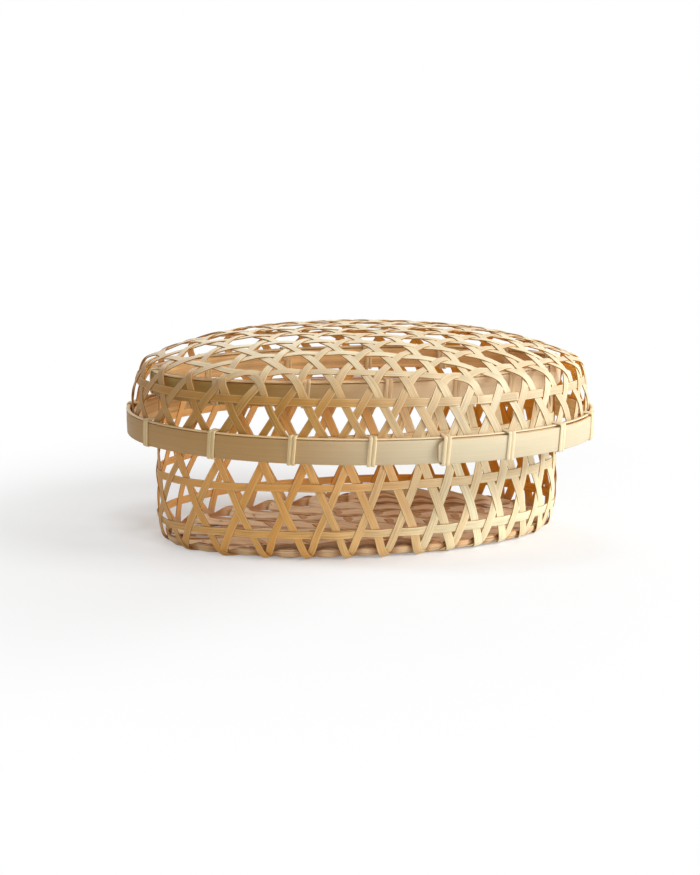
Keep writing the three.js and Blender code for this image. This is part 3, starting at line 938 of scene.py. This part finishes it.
def lashing_surface(rim, number, width):
    """Two turns of cane round the rim.

    Seen along the rim each turn is a rounded rectangle, from the inside under the rim, up the
    outside and over the top. It leans on the outside and steps on to the next turn inside.
    """
    angle = rim.oval.angle(rim.lashings[number])
    hug = CANE_GAP + CANE_THICKNESS / 2
    near = -float(rim.rise(np.mod(angle - rim.start, 2 * np.pi))) - hug + CANE_BEND
    far = STACK + hug - CANE_BEND
    low = rim.low - hug + CANE_BEND
    high = rim.low + rim.height + GAP + CAP + hug - CANE_BEND
    step = (width + CANE_GAP) / 2
    below = [(far, low, 3, -CANE_LEAN), (near, low, 0, -CANE_LEAN)]
    above = [(near, high, 1, CANE_LEAN), (far, high, 2, CANE_LEAN)]
    inside = [far + CANE_BEND, (low + high) / 2]
    rows = [inside + [-step - CANE_LEAN, 0]]
    for turn in (-step, step):
        for depth, up, quarter, lean in below + above:
            swept = -np.linspace(0, np.pi / 2, BEND_STATIONS) - (quarter + 1) * np.pi / 2
            bend = [depth + CANE_BEND * np.cos(swept), up + CANE_BEND * np.sin(swept)]
            rows += np.stack(bend + [np.full(BEND_STATIONS, turn + lean), swept], 1).tolist()
    rows.append(inside + [step + CANE_LEAN, 0])
    depth, up, offset, swept = np.array(rows).T
    half = rim.oval.half - WALL_INSET
    along = unit(np.array([-half[0] * np.sin(angle), half[1] * np.cos(angle), 0]))
    inward = np.array([-along[1], along[0], 0])
    path = rim.oval.point(angle, WALL_INSET, 0) + inward * (depth - WALL_INSET)[:, None]
    path += along * offset[:, None]
    path[:, 2] = up
    facing = inward * np.cos(swept)[:, None] + np.array([0, 0, 1]) * np.sin(swept)[:, None]
    section = strip_section(width, CANE_THICKNESS, CANE_EDGE, CANE_CROWN)
    surface = Surface()
    side = (section[:, 1] > 0).astype(float)
    tone = np.mod(LASHING_TONE_STEP * number, 1)
    seed = LASHING_SEED_STEP * number + LASHING_SEED_RISE * rim.low
    surface.add_band(carried(path, facing, section), run_length(path), section[:, 0], side, tone, seed)
    return surface


def mat_surface(oval, knots, seed):
    """One broad strip of the floor, passed between the two strips at each crossing of its row.

    Its middle line runs through the row's holes and crossings in turn. It is pinched at the
    crossings and swells between them: half width and arch both follow half a raised cosine.
    What would reach past the foot is drawn in to its outline and curls up there instead.
    """
    random = np.random.default_rng(seed)
    line = smooth_run(knots, MAT_SAMPLES)
    turn = np.arange(len(line)) / MAT_SAMPLES
    bulge = 0.5 + 0.5 * np.cos(np.pi * turn)
    ends = np.clip(np.minimum(turn, turn[-1] - turn) / MAT_END_RUN, 0, 1)
    narrowed = MAT_END_SHARE + (1 - MAT_END_SHARE) * np.sqrt(1 - (1 - ends) ** 2)
    half = (MAT_HALF + MAT_HALF_GAIN * bulge) * narrowed
    run = run_length(line)
    phases = random.uniform(0, PHASE_SPREAD, 4)
    lean = MAT_LEAN * np.sin(run / MAT_LEAN_WAVE + phases[0])
    across = np.cross(unit(np.gradient(line, axis=0) * [1, 1, 0]), [0, 0, 1])
    v, top = MAT_ACROSS_SHARES, MAT_TOP_SHARES
    ripple = MAT_RIPPLE_SHARES[0] * np.sin(MAT_RIPPLE_WAVES[0] * v + phases[1])
    ripple = ripple + MAT_RIPPLE_SHARES[1] * np.sin(MAT_RIPPLE_WAVES[1] * v + phases[2])
    arch = (MAT_ARCH + MAT_ARCH_GAIN * bulge)[:, None] * (1 - v**2) * (1 + ripple)
    rise = np.maximum(arch + lean[:, None] * v, -MAT_SINK) + (top - 0.5) * MAT_THICKNESS
    grid = line[:, None] + across[:, None] * (half[:, None] * v)[..., None]
    foot = oval.half - (BELLY_INSET + FOOT_INSET + MAT_FOOT_GAP)
    past = np.clip(np.linalg.norm(grid[..., :2] / foot, axis=-1) - 1, 0, None)
    grid[..., :2] /= 1 + MAT_DRAWN_SHARE * past[..., None]
    grid[..., 2] = np.maximum(grid[..., 2] + rise + MAT_CURL_SHARE * foot[1] * past, MAT_LEVEL)
    surface = Surface()
    # The side value sets the mat's painted shade: full on the underside and some at the pinches.
    side = (top > 0) * (MAT_PINCHED_SIDE + (1 - MAT_PINCHED_SIDE) * bulge)[:, None]
    surface.add_band(grid, run, half[:, None] * v, side, random.uniform(), random.uniform(0, SEED_SPREAD))
    return surface


def foot_surface(oval):
    """A broad strip laid round the foot behind the turns of the wall's strips.

    With t counting the turns, its swell is half of one minus the cosine of a full circle times t:
    nothing behind each turn and full between two. There the strip is broader and bows outwards.
    """
    random = np.random.default_rng(FOOT_SEED)
    around = oval.around
    turn = np.arange(TURN_STATIONS * around) / TURN_STATIONS
    share = oval.crowd(oval.start + (turn + 0.5) / around)
    sizes = np.resize(random.uniform(*FOOT_STRIP_SIZES, around), around + 1)
    size = np.interp(turn, np.arange(around + 1), sizes)
    swell = ((0.5 - 0.5 * np.cos(2 * np.pi * turn)) * size)[:, None]
    v = np.concatenate([FOOT_STRIP_OUTER_SHARES, FOOT_STRIP_INNER_SHARES])
    inner = np.repeat([0.0, 1.0], [len(FOOT_STRIP_OUTER_SHARES), len(FOOT_STRIP_INNER_SHARES)])
    tilt = FOOT_STRIP_TILT * np.sin(turn / FOOT_STRIP_TURNS + random.uniform(0, PHASE_SPREAD))[:, None]
    half = FOOT_STRIP_HALF + FOOT_STRIP_HALF_GAIN * swell
    height = FOOT_STRIP_HEIGHT + (FOOT_STRIP_HEIGHT_GAIN + tilt) * swell + half * v
    depth = FOOT_STRIP_DEPTH - FOOT_STRIP_BOW * swell * (1 - v**2) + FOOT_STRIP_THICKNESS * inner
    curl = np.clip(1 - height / FOOT, 0, None)
    grid = oval.point(oval.angle(share)[:, None], BELLY_INSET + FOOT_INSET * curl**2 + depth, height)
    grid[..., 2] = np.maximum(grid[..., 2], FOOT_STRIP_LEVEL)
    surface = Surface()
    across = (height - FOOT_STRIP_GRAIN_MIDDLE) * FOOT_STRIP_GRAIN
    # The side value sets the painted shade behind each turn of the wall's strips.
    side = FOOT_STRIP_SIDE_SHARE * swell**2
    run = run_length(grid[:, 0])
    surface.add_band(grid, run, across, side, FOOT_STRIP_TONE, FOOT_STRIP_SEED, closed=True)
    return surface


def made_piece(surface, name, body, material, nodes, place):
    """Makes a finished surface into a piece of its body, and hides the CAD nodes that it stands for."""
    piece = surface.made(name, material, place)
    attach(piece, body)
    if nodes:
        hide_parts(*nodes)
    return piece


class Amount:
    """A number socket of a shader, for use in plain sums and products."""

    def __init__(self, finish, socket):
        self.finish, self.socket = finish, socket

    def _math(self, operation, first, second=None):
        numbers = {0: first} if second is None else {0: first, 1: second}
        node = self.finish.add("ShaderNodeMath", {"operation": operation}, numbers)
        return Amount(self.finish, node.outputs[0])

    def __add__(self, other):
        return self._math("ADD", self, other)

    __radd__ = __add__

    def __sub__(self, other):
        return self._math("SUBTRACT", self, other)

    def __rsub__(self, other):
        return self._math("SUBTRACT", other, self)

    def __mul__(self, other):
        return self._math("MULTIPLY", self, other)

    __rmul__ = __mul__

    def __pow__(self, other):
        return self._math("POWER", self, other)

    def __abs__(self):
        return self._math("ABSOLUTE", self)

    def ramp(self, low, high):
        """Nought below low and one above high, smooth between."""
        sockets = {0: self, 1: low, 2: high, 3: 0.0, 4: 1.0}
        node = self.finish.add("ShaderNodeMapRange", {"interpolation_type": "SMOOTHSTEP"}, sockets)
        return Amount(self.finish, node.outputs[0])


class Finish:
    """Shader nodes of a procedural material, or of the world, made one at a time."""

    def __init__(self, name, kind="materials"):
        self.made = getattr(bpy.data, kind).new(name)
        self.made.use_nodes = True
        self.tree = self.made.node_tree
        self.tree.nodes.clear()

    def add(self, kind, settings=None, sockets=None):
        """A node of a type, with its settings made first and then its sockets' values or links."""
        node = self.tree.nodes.new(kind)
        for name, value in (settings or {}).items():
            setattr(node, name, value)
        for name, value in (sockets or {}).items():
            socket = node.inputs[name]
            if isinstance(value, Amount):
                value = value.socket
            if isinstance(value, bpy.types.NodeSocket):
                self.tree.links.new(value, socket)
            else:
                socket.default_value = value
        return node

    def parts(self, vector):
        """The three numbers of a vector."""
        node = self.add("ShaderNodeSeparateXYZ", None, {0: vector})
        return [Amount(self, output) for output in node.outputs]

    def noise(self, x, y, z, detail=2.0, roughness=0.5):
        """Cloudy noise between nought and one at a point."""
        point = self.add("ShaderNodeCombineXYZ", None, {0: x, 1: y, 2: z})
        node = self.add(
            "ShaderNodeTexNoise", {"noise_dimensions": "3D"},
            {"Vector": point.outputs[0], "Scale": 1.0, "Detail": detail, "Roughness": roughness},
        )
        return Amount(self, node.outputs["Fac"])

    def place(self):
        """The three coordinates of the point in the CAD frame."""
        return self.parts(self.add("ShaderNodeTexCoord").outputs["Object"])

    def mix(self, share, first, second):
        """A colour between two others."""
        node = self.add("ShaderNodeMix", {"data_type": "RGBA"}, {0: share, 6: first, 7: second})
        return node.outputs[2]


class StripFinish(Finish):
    """A finish that follows a strip: metres along and across it, its tone, outer side and seed."""

    def __init__(self, name):
        super().__init__(name)
        uv = self.add("ShaderNodeUVMap", {"uv_map": "UVMap"})
        strip = self.add("ShaderNodeAttribute", {"attribute_name": "strip"})
        self.along, self.across = self.parts(uv.outputs["UV"])[:2]
        self.tone, self.side, self.seed = self.parts(strip.outputs["Vector"])

    def grain(self, along, across, share, start, detail, roughness=0.5):
        """Noise drawn out along the strip, which differs from strip to strip by their seeds."""
        seed = self.seed * share + start
        return self.noise(self.along * along, self.across * across, seed, detail, roughness)

    def painted_light(self, start, crown=False):
        """Share of painted light: rising towards the +X end from a start, and on the lid's crown."""
        x, _, height = self.place()
        unlit = 1 - x.ramp(start, start + PAINTED_LIGHT_RUN)
        return 1 - (unlit * (1 - height.ramp(*CROWN_PAINTED_LIGHT)) if crown else unlit)

    def grained(self, grain, painted_light, plain, pale):
        """Tones mixed by the grain, each from its first colour to its second by a share of painted light."""
        dark, light = (self.mix(painted_light, *pair) for pair in zip(plain, pale))
        return self.mix(grain, dark, light)

    def marked(self, colour, where, mark, strength, share):
        """A colour with a mark laid over it, in a shade of the mark's own colour."""
        return self.mix(where * strength, colour, shade(mark, share))

    def finished(self, colour, fibre, roughness, height, depth, specular=SPECULAR):
        """Closes the material. Its roughness is a plain one, with what side and fibre add to it."""
        plain, outer, fibrous = roughness
        bump = self.add("ShaderNodeBump", None, {"Strength": 1.0, "Distance": depth, "Height": height})
        sockets = {"Base Color": colour, "Normal": bump.outputs[0], "Specular IOR Level": specular}
        sockets["Roughness"] = plain + self.side * outer + fibre * fibrous
        shader = self.add("ShaderNodeBsdfPrincipled", None, sockets)
        self.add("ShaderNodeOutputMaterial", None, {0: shader.outputs[0]})
        return self.made


def summed(amounts, shares):
    """The sum of some amounts, each times its share."""
    return sum(amount * share for amount, share in zip(amounts, shares))


def shade(colour, share=1.0):
    """A colour made lighter or darker, as a four-part colour."""
    return tuple(min(1.0, part * share) for part in colour[:3]) + (1.0,)


def tones(colour, dark, light):
    """The dark and the light tone of a colour."""
    return shade(colour, dark), shade(colour, light)


def tinted(colour, tint):
    """A colour with its red, green and blue scaled."""
    return tuple(part * scale for part, scale in zip(colour, tint))


def bamboo_finish(name, skin, pale, core, width):
    """Split bamboo: fine fibres along the strip, painted highlights along its edges with a dark cut
    beyond them, partly painted shade, a warm core on the inner side and a different tone on every strip.
    Painted light makes the skin pale towards +X and on the crown and the core pale towards -X, and painted
    shade darkens the -X end and the core near the floor."""
    finish = StripFinish(name)
    x, _, height = finish.place()
    fibre = finish.grain(*STRIP_FIBRE)
    grain = summed((fibre, finish.grain(*STRIP_STREAK), finish.grain(*STRIP_CLOUD)), STRIP_GRAIN_SHARES)
    # Painted light: the skin goes pale towards +X and on the crown.
    painted_light = finish.painted_light(STRIP_PAINTED_LIGHT_START, crown=True)
    # Painted light: the pale is lighter still on the upper lid.
    upper = height.ramp(*UPPER_LID_PAINTED_LIGHT)
    lower_tones, upper_tones = tones(pale, *STRIP_PALE_TONES), tones(pale, *UPPER_PALE_TONES)
    bright = [finish.mix(upper, *pair) for pair in zip(lower_tones, upper_tones)]
    skin_tones = tones(skin, *STRIP_SKIN_TONES)
    skin_colour = finish.grained(grain.ramp(*STRIP_SKIN_GRAIN), painted_light, skin_tones, bright)
    # Painted shade darkens the skin at the -X end.
    skin_colour = finish.marked(skin_colour, 1 - x.ramp(*PAINTED_SHADE_END), PAINTED_SHADE_SKIN, *PAINTED_SHADE_MARK)
    # The painted light takes away part of each strip's own warmth.
    warmth = finish.tone * (1 - painted_light * WARMTH_LIT_SHARE)
    skin_colour = finish.marked(skin_colour, warmth, tinted(skin, WARM), *WARM_MARK)
    # Painted light makes the core paler and less orange towards -X, where the inner faces are lit; towards
    # +X it keeps its own colour.
    lit_core, plain_core = tones(tinted(core, LIT_CORE_TINT), *STRIP_LIT_CORE_TONES), tones(core, *STRIP_CORE_TONES)
    plain_core_share = finish.painted_light(BAND_PAINTED_LIGHT_START)
    core_colour = finish.grained(grain.ramp(*STRIP_CORE_GRAIN), plain_core_share, lit_core, plain_core)
    # Painted shade turns the core brown inside near the floor.
    core_colour = finish.mix(height.ramp(*FLOOR_PAINTED_SHADE), FLOOR_SHADE_CORE, core_colour)
    outer = finish.side.ramp(*STRIP_SIDE)
    colour = finish.mix(outer, core_colour, skin_colour)
    # Painted highlight along the edges of the outer face, stronger where the painted light is.
    edge = abs(finish.across).ramp(*(share * width for share in EDGE_HIGHLIGHT_SHARES))
    strength = EDGE_HIGHLIGHT_STRENGTH + painted_light * EDGE_HIGHLIGHT_GAIN
    colour = finish.mix(edge * outer * strength, colour, shade(tinted(pale, EDGE_HIGHLIGHT)))
    # Dark cut at the strip's sides: partly its own cut and partly painted shade under its edges.
    cut_and_shade = abs(finish.across).ramp(*(share * width for share in CUT_AND_SHADE_SHARES))
    colour = finish.marked(colour, cut_and_shade, core, *CUT_AND_SHADE_MARK)
    speck = finish.grain(*STRIP_SPECK).ramp(*SPECK_GRAIN)
    colour = finish.marked(colour, speck, core, *SPECK_MARK)
    return finish.finished(colour, fibre, STRIP_ROUGHNESS, grain, STRIP_RELIEF)


def hoop_finish(name, skin, pale, core):
    """A broad bamboo band: its outer skin is satin with long fine lines, its back warmer. Painted light
    takes it from its skin to its pale towards the +X end.
    """
    finish = StripFinish(name)
    fibre = finish.grain(*BAND_FIBRE)
    grain = summed((fibre, finish.grain(*BAND_STREAK), finish.grain(*BAND_CLOUD)), BAND_GRAIN_SHARES)
    # Painted light takes the band from its skin to its pale towards +X.
    painted_light = finish.painted_light(BAND_PAINTED_LIGHT_START)
    skin_tones, pale_tones = tones(skin, *BAND_SKIN_TONES), tones(pale, *BAND_PALE_TONES)
    skin_colour = finish.grained(grain.ramp(*BAND_SKIN_GRAIN), painted_light, skin_tones, pale_tones)
    core_colour = finish.mix(grain.ramp(*BAND_CORE_GRAIN), *tones(core, *BAND_CORE_TONES))
    colour = finish.mix(finish.side.ramp(*BAND_SIDE), core_colour, skin_colour)
    line = finish.grain(*BAND_LINE).ramp(*LINE_GRAIN)
    colour = finish.marked(colour, line, core, *LINE_MARK)
    return finish.finished(colour, fibre, BAND_ROUGHNESS, grain, BAND_RELIEF)


def cane_finish(name, cane, pale):
    """Flat cane: pale, with thin lines along it, painted highlights along its edges and painted light that
    makes it paler towards +X and on the crown.
    """
    finish = StripFinish(name)
    fibre = finish.grain(*CANE_FIBRE)
    # Painted light turns the cane pale towards +X and on the crown.
    painted_light = finish.painted_light(STRIP_PAINTED_LIGHT_START, crown=True)
    cane_tones, pale_tones = tones(cane, *CANE_TONES), tones(pale, *CANE_PALE_TONES)
    colour = finish.grained(fibre.ramp(*CANE_GRAIN), painted_light, cane_tones, pale_tones)
    colour = finish.marked(colour, finish.tone, tinted(cane, WARM_CANE), *WARM_CANE_MARK)
    # Painted highlight along the cane's edges.
    edge = abs(finish.across).ramp(*CANE_HIGHLIGHT_RUN)
    colour = finish.marked(colour, edge, pale, *CANE_HIGHLIGHT_MARK)
    return finish.finished(colour, fibre, CANE_ROUGHNESS, fibre, CANE_RELIEF)


def mat_finish(name, mat):
    """Broad split bamboo with its core upwards: coarse pale fibres between brown furrows, with painted shade
    at its edges, where it is pinched or tucked behind other strips, and on its underside."""
    finish = StripFinish(name)
    fibre = finish.grain(*MAT_FIBRE)
    furrow = finish.grain(*MAT_FURROW).ramp(*FURROW_GRAIN)
    grain = summed((fibre, finish.grain(*MAT_STREAK)), MAT_GRAIN_SHARES)
    brown = tinted(mat, BROWN_MAT)
    dark, light = shade(mat, MAT_DARK_SHADE), shade(tinted(mat, PALE_MAT))
    colour = finish.mix(grain.ramp(*MAT_GRAIN), dark, light)
    colour = finish.marked(colour, finish.tone, tinted(mat, WARM_MAT), *WARM_MAT_MARK)
    colour = finish.marked(colour, furrow, brown, *FURROW_MARK)
    # Painted shade along the strip's edges, in the crevices between strips.
    edge = abs(finish.across).ramp(*MAT_EDGE_SHADE_RUN)
    colour = finish.marked(colour, edge, brown, *MAT_EDGE_SHADE_MARK)
    # Painted shade where the strip is pinched or tucked behind other strips, and on its underside.
    colour = finish.marked(colour, 1 - finish.side.ramp(*MAT_SHADE_SIDE), brown, *PINCHED_SHADE_MARK)
    height = grain - furrow * FURROW_RELIEF_SHARE
    return finish.finished(colour, fibre, MAT_ROUGHNESS, height, MAT_RELIEF, MAT_SPECULAR)


def add_base_weave(sizes, colours):
    """Weaves the base's wall and floor."""
    _, _, _, place = box_forms(sizes)
    surface = weave_surface(*base_weave(sizes)[0], sizes, BASE_BROADER_SHARE, BASE_SPLICES, BASE_SEED)
    # The base's strips and their pale are lighter copies of the lid's: painted light.
    skin, pale = tinted(colours.strip, BASE_STRIPS), shade(colours.pale, BASE_PALE_SHADE)
    finish = bamboo_finish("bamboo_strips_base", skin, pale, colours.core, sizes.strip_width)
    made_piece(surface, "base_weave_strips", "base", finish, ["base_weave"], place)


def add_lid_weave(sizes, colours):
    """Weaves the lid's crown and wall."""
    _, _, place, _ = box_forms(sizes)
    surface = weave_surface(*lid_weave(sizes), sizes, LID_BROADER_SHARE, LID_SPLICES, LID_SEED)
    skin, pale = tinted(colours.strip, LID_STRIPS), shade(colours.pale, LID_PALE_SHADE)
    finish = bamboo_finish("bamboo_strips_lid", skin, pale, colours.core, sizes.strip_width)
    made_piece(surface, "lid_weave_strips", "lid", finish, ["lid_weave"], place)


def add_hoops(sizes, colours):
    """Bends the outer hoops, the inner hoops and the cap strips of both rims."""
    skin, pale, core, cane = colours.skin, colours.pale, colours.core, colours.cane
    lid_band = hoop_finish("bamboo_band_lid", skin, shade(pale, LID_BAND_PALE_SHADE), core)
    base_band = hoop_finish("bamboo_band_base", tinted(skin, BASE_BAND), pale, core)
    # The inner hoop's painted light and shade run from yellow at -X to a darker orange towards +X.
    plain = hoop_finish("bamboo_core_band", *INNER_BAND)
    edging = hoop_finish("bamboo_cap", cane, pale, cane)
    own = ((OUTER_HOOP, lid_band), (STACK, base_band))
    for (side, rim, place), (cap_width, band) in zip(rims(sizes), own):
        outer = outer_hoop(rim)
        inner = closed_hoop(rim, INNER_INSET, INNER_HOOP, rim.low, rim.height, INNER_EDGE)
        cap = closed_hoop(rim, 0, cap_width, rim.low + rim.height + GAP, CAP, CAP_EDGE)
        for name, node, slot, finish, surface in (
            ("outer_band", "outer_hoop", "bamboo_skin", band, outer),
            ("inner_band", "inner_hoop", "bamboo_core", plain, inner),
            ("cap_band", "cap_strip", "bamboo_core", edging, cap),
        ):
            made_piece(surface, f"{side}_rim_{name}", side, finish, [f"{side}_rim_{node}"], place)


def add_lashings(sizes, colours):
    """Binds both rims with turns of cane."""
    cane = cane_finish("cane_turns", colours.cane, colours.pale)
    for side, rim, place in rims(sizes):
        for number in range(len(rim.lashings)):
            surface = lashing_surface(rim, number, sizes.cane_width)
            node = f"{side}_rim_lashing_{number + 1:02d}"
            made_piece(surface, f"{side}_rim_cane_{number + 1:02d}", side, cane, [node], place)


def add_mat(sizes, colours):
    """Lays the broad strips of the floor mat, and the one round its edge."""
    _, base, _, place = box_forms(sizes)
    finish = mat_finish("mat_strips", colours.mat)
    edging = mat_finish("mat_edge_strip", tinted(colours.mat, FOOT_MAT))
    made_piece(foot_surface(base), "base_foot_strip", "base", edging, [], place)
    for number, knots in enumerate(base_weave(sizes)[1]):
        surface = mat_surface(base, knots, number)
        node = f"base_mat_strip_{number + 1:02d}"
        made_piece(surface, f"base_floor_strip_{number + 1:02d}", "base", finish, [node], place)


def add_lamp(name, place, aim, size, watts, colour):
    """A soft square lamp that looks from one point to another."""
    data = bpy.data.lights.new(name, "AREA")
    data.shape, data.size, data.energy, data.color = "SQUARE", size, watts, colour
    lamp = bpy.data.objects.new(name, data)
    lamp.location = place
    lamp.rotation_euler = (Vector(aim) - Vector(place)).to_track_quat("-Z", "Y").to_euler()
    bpy.context.scene.collection.objects.link(lamp)


def add_floor():
    """A wide pale floor. To the camera it is mostly plain white, wholly so further out, and keeps
    the object's shadow."""
    corners = [(x * FLOOR_HALF, y * FLOOR_HALF, 0) for x, y in ((-1, -1), (1, -1), (1, 1), (-1, 1))]
    mesh = bpy.data.meshes.new("studio_floor")
    mesh.from_pydata(corners, [], [(0, 1, 2, 3)])
    finish = Finish("studio_paper")
    x, y, _ = finish.place()
    fleck = finish.noise(x * PAPER_FLECKS, y * PAPER_FLECKS, 0)
    colour = finish.mix(fleck, *PAPER)
    paper = finish.add("ShaderNodeBsdfDiffuse", None, {"Color": colour})
    white = finish.add("ShaderNodeEmission", None, {"Color": (1, 1, 1, 1), "Strength": 1.0})
    seen = Amount(finish, finish.add("ShaderNodeLightPath").outputs["Is Camera Ray"])
    reach = (x * x + y * y) ** 0.5
    foot_reach = (x * x + (y * y + x * y * FOOT_SLANT) * FOOT_NARROWNESS) ** 0.5
    lit = (x * LIT_WAY[0] + y * LIT_WAY[1]).ramp(*LIT_SIDE)
    kept = (1 - reach.ramp(*SHADE_REACH)) * (SHADE_SHARE - lit * LIT_SIDE_SHARE)
    kept = kept + (1 - kept) * (1 - foot_reach.ramp(*FOOT_REACH)) * FOOT_SHADE_SHARE
    both = finish.add(
        "ShaderNodeMixShader", None, {0: seen * (1 - kept), 1: paper.outputs[0], 2: white.outputs[0]}
    )
    finish.add("ShaderNodeOutputMaterial", None, {0: both.outputs[0]})
    mesh.materials.append(finish.made)
    floor = bpy.data.objects.new("studio_floor", mesh)
    bpy.context.scene.collection.objects.link(floor)


def add_camera():
    """The photograph's view: from the front, a little above, 650 mm from the box's middle."""
    data = bpy.data.cameras.new("photo_camera")
    data.sensor_width = SENSOR
    data.lens = FOCAL_PIXELS / PHOTO_HEIGHT * SENSOR
    data.shift_x, data.shift_y = (shift / PHOTO_HEIGHT for shift in SHIFT_PIXELS)
    data.clip_start, data.clip_end = CLIP
    camera = bpy.data.objects.new("photo_camera", data)
    back = Vector((0, -math.cos(ELEVATION), math.sin(ELEVATION)))
    camera.location = Vector((0, 0, AIM_HEIGHT)) + DISTANCE * back
    camera.rotation_euler = (-back).to_track_quat("-Z", "Y").to_euler()
    bpy.context.scene.collection.objects.link(camera)
    bpy.context.scene.camera = camera


def add_world():
    """Even white surroundings: plain white to the camera and in gloss, softer as light."""
    finish = Finish("studio_world", "worlds")
    path = finish.add("ShaderNodeLightPath").outputs
    rays = {0: path["Is Camera Ray"], 1: path["Is Glossy Ray"]}
    seen = finish.add("ShaderNodeMath", {"operation": "MAXIMUM"}, rays)
    light = finish.add("ShaderNodeBackground", None, {"Color": WORLD_COLOUR, "Strength": WORLD_STRENGTH})
    shown = finish.add("ShaderNodeBackground", None, {"Color": (1, 1, 1, 1), "Strength": 1.0})
    both = {0: seen.outputs[0], 1: light.outputs[0], 2: shown.outputs[0]}
    surroundings = finish.add("ShaderNodeMixShader", None, both)
    finish.add("ShaderNodeOutputWorld", None, {0: surroundings.outputs[0]})
    bpy.context.scene.world = finish.made


def length_setting(name, description, default):
    """A length that a user may change."""
    return FloatProperty(name=name, description=description, default=default, unit="LENGTH")


def colour_setting(name, description, default):
    """A colour that a user may change."""
    return FloatVectorProperty(name=name, description=description, subtype="COLOR", size=3, default=default)


class WovenBoxSizes(bpy.types.PropertyGroup):
    """Sizes of the box and its strips"""

    lid_length: length_setting("Lid length", "Over the lid's outer hoop", 0.210)
    lid_depth: length_setting("Lid depth", "Over the lid's outer hoop", 0.146)
    end_overhang: length_setting("End overhang", "The lid stands out past the base at its ends", 0.012)
    side_overhang: length_setting("Side overhang", "The lid stands out past the base at its sides", 0.024)
    strip_width: length_setting("Strip width", "Width of the woven strips", 0.0033)
    strip_thickness: length_setting("Strip thickness", "Thickness of the woven strips", 0.0005)
    cane_width: length_setting("Cane width", "Width of one turn of a lashing", 0.0016)
    base_turn: FloatProperty(
        name="Base turn", description="How far the base stands turned under the lid",
        default=math.radians(11), unit="ROTATION", subtype="ANGLE",
    )


class WovenBoxColours(bpy.types.PropertyGroup):
    """Colours of the bamboo and the cane"""

    skin: colour_setting("Hoop skin", "Outer face of the broad hoops", (0.56, 0.335, 0.132))
    strip: colour_setting("Strip skin", "Outer face of the woven strips", (0.70, 0.335, 0.080))
    # Pale skin: colour of the painted light at +X and on the crown, and of painted highlights on edges.
    pale: colour_setting("Pale skin", "Bleached bamboo of the +X end, and strips' edges", (0.90, 0.78, 0.54))
    core: colour_setting("Core", "Inner face of the bamboo", (0.94, 0.41, 0.045))
    cane: colour_setting("Cane", "Lashings of the rims", (0.84, 0.62, 0.32))
    mat: colour_setting("Mat", "Broad strips of the floor", (1.0, 0.71, 0.43))


def chosen(context):
    """The sizes and colours that are set for the box."""
    return context.scene.woven_box_sizes, context.scene.woven_box_colours


class WOVENBOX_OT_base_weave(bpy.types.Operator):
    """Weave the base's wall and floor from split bamboo"""

    bl_idname = "woven_box.base_weave"
    bl_label = "Base weave"

    def execute(self, context):
        add_base_weave(*chosen(context))
        return {"FINISHED"}


class WOVENBOX_OT_lid_weave(bpy.types.Operator):
    """Weave the lid's crown and wall from split bamboo"""

    bl_idname = "woven_box.lid_weave"
    bl_label = "Lid weave"

    def execute(self, context):
        add_lid_weave(*chosen(context))
        return {"FINISHED"}


class WOVENBOX_OT_hoops(bpy.types.Operator):
    """Bend the hoops and cap strips of both rims"""

    bl_idname = "woven_box.hoops"
    bl_label = "Rim hoops"

    def execute(self, context):
        add_hoops(*chosen(context))
        return {"FINISHED"}


class WOVENBOX_OT_lashings(bpy.types.Operator):
    """Bind both rims with turns of cane"""

    bl_idname = "woven_box.lashings"
    bl_label = "Rim lashings"

    def execute(self, context):
        add_lashings(*chosen(context))
        return {"FINISHED"}


class WOVENBOX_OT_mat(bpy.types.Operator):
    """Lay the broad strips of the floor mat"""

    bl_idname = "woven_box.mat"
    bl_label = "Floor mat"

    def execute(self, context):
        add_mat(*chosen(context))
        return {"FINISHED"}


class WOVENBOX_OT_stage(bpy.types.Operator):
    """Set the floor, the light and the camera"""

    bl_idname = "woven_box.stage"
    bl_label = "Stage"

    def execute(self, context):
        add_floor()
        add_world()
        for lamp in LAMPS:
            add_lamp(*lamp)
        add_camera()
        context.scene.view_settings.view_transform = "Standard"
        return {"FINISHED"}


STEPS = ("base_weave", "lid_weave", "hoops", "lashings", "mat", "stage")


class WOVENBOX_PT_panel(bpy.types.Panel):
    """Sizes, colours and pieces of the woven box"""

    bl_idname = "WOVENBOX_PT_panel"
    bl_label = "Woven box"
    bl_space_type = "VIEW_3D"
    bl_region_type = "UI"
    bl_category = "Woven box"

    def draw(self, context):
        for group in chosen(context):
            for name in group.__annotations__:
                self.layout.prop(group, name)
        for step in STEPS:
            self.layout.operator(f"woven_box.{step}")


CLASSES = (
    WovenBoxSizes,
    WovenBoxColours,
    WOVENBOX_OT_base_weave,
    WOVENBOX_OT_lid_weave,
    WOVENBOX_OT_hoops,
    WOVENBOX_OT_lashings,
    WOVENBOX_OT_mat,
    WOVENBOX_OT_stage,
    WOVENBOX_PT_panel,
)


def register():
    for made in CLASSES:
        bpy.utils.register_class(made)
    bpy.types.Scene.woven_box_sizes = PointerProperty(type=WovenBoxSizes)
    bpy.types.Scene.woven_box_colours = PointerProperty(type=WovenBoxColours)


def unregister():
    del bpy.types.Scene.woven_box_colours
    del bpy.types.Scene.woven_box_sizes
    for made in reversed(CLASSES):
        bpy.utils.unregister_class(made)


def main():
    """Makes every piece in order."""
    register()
    for step in STEPS:
        getattr(bpy.ops.woven_box, step)()


if __name__ == "__main__":
    main()
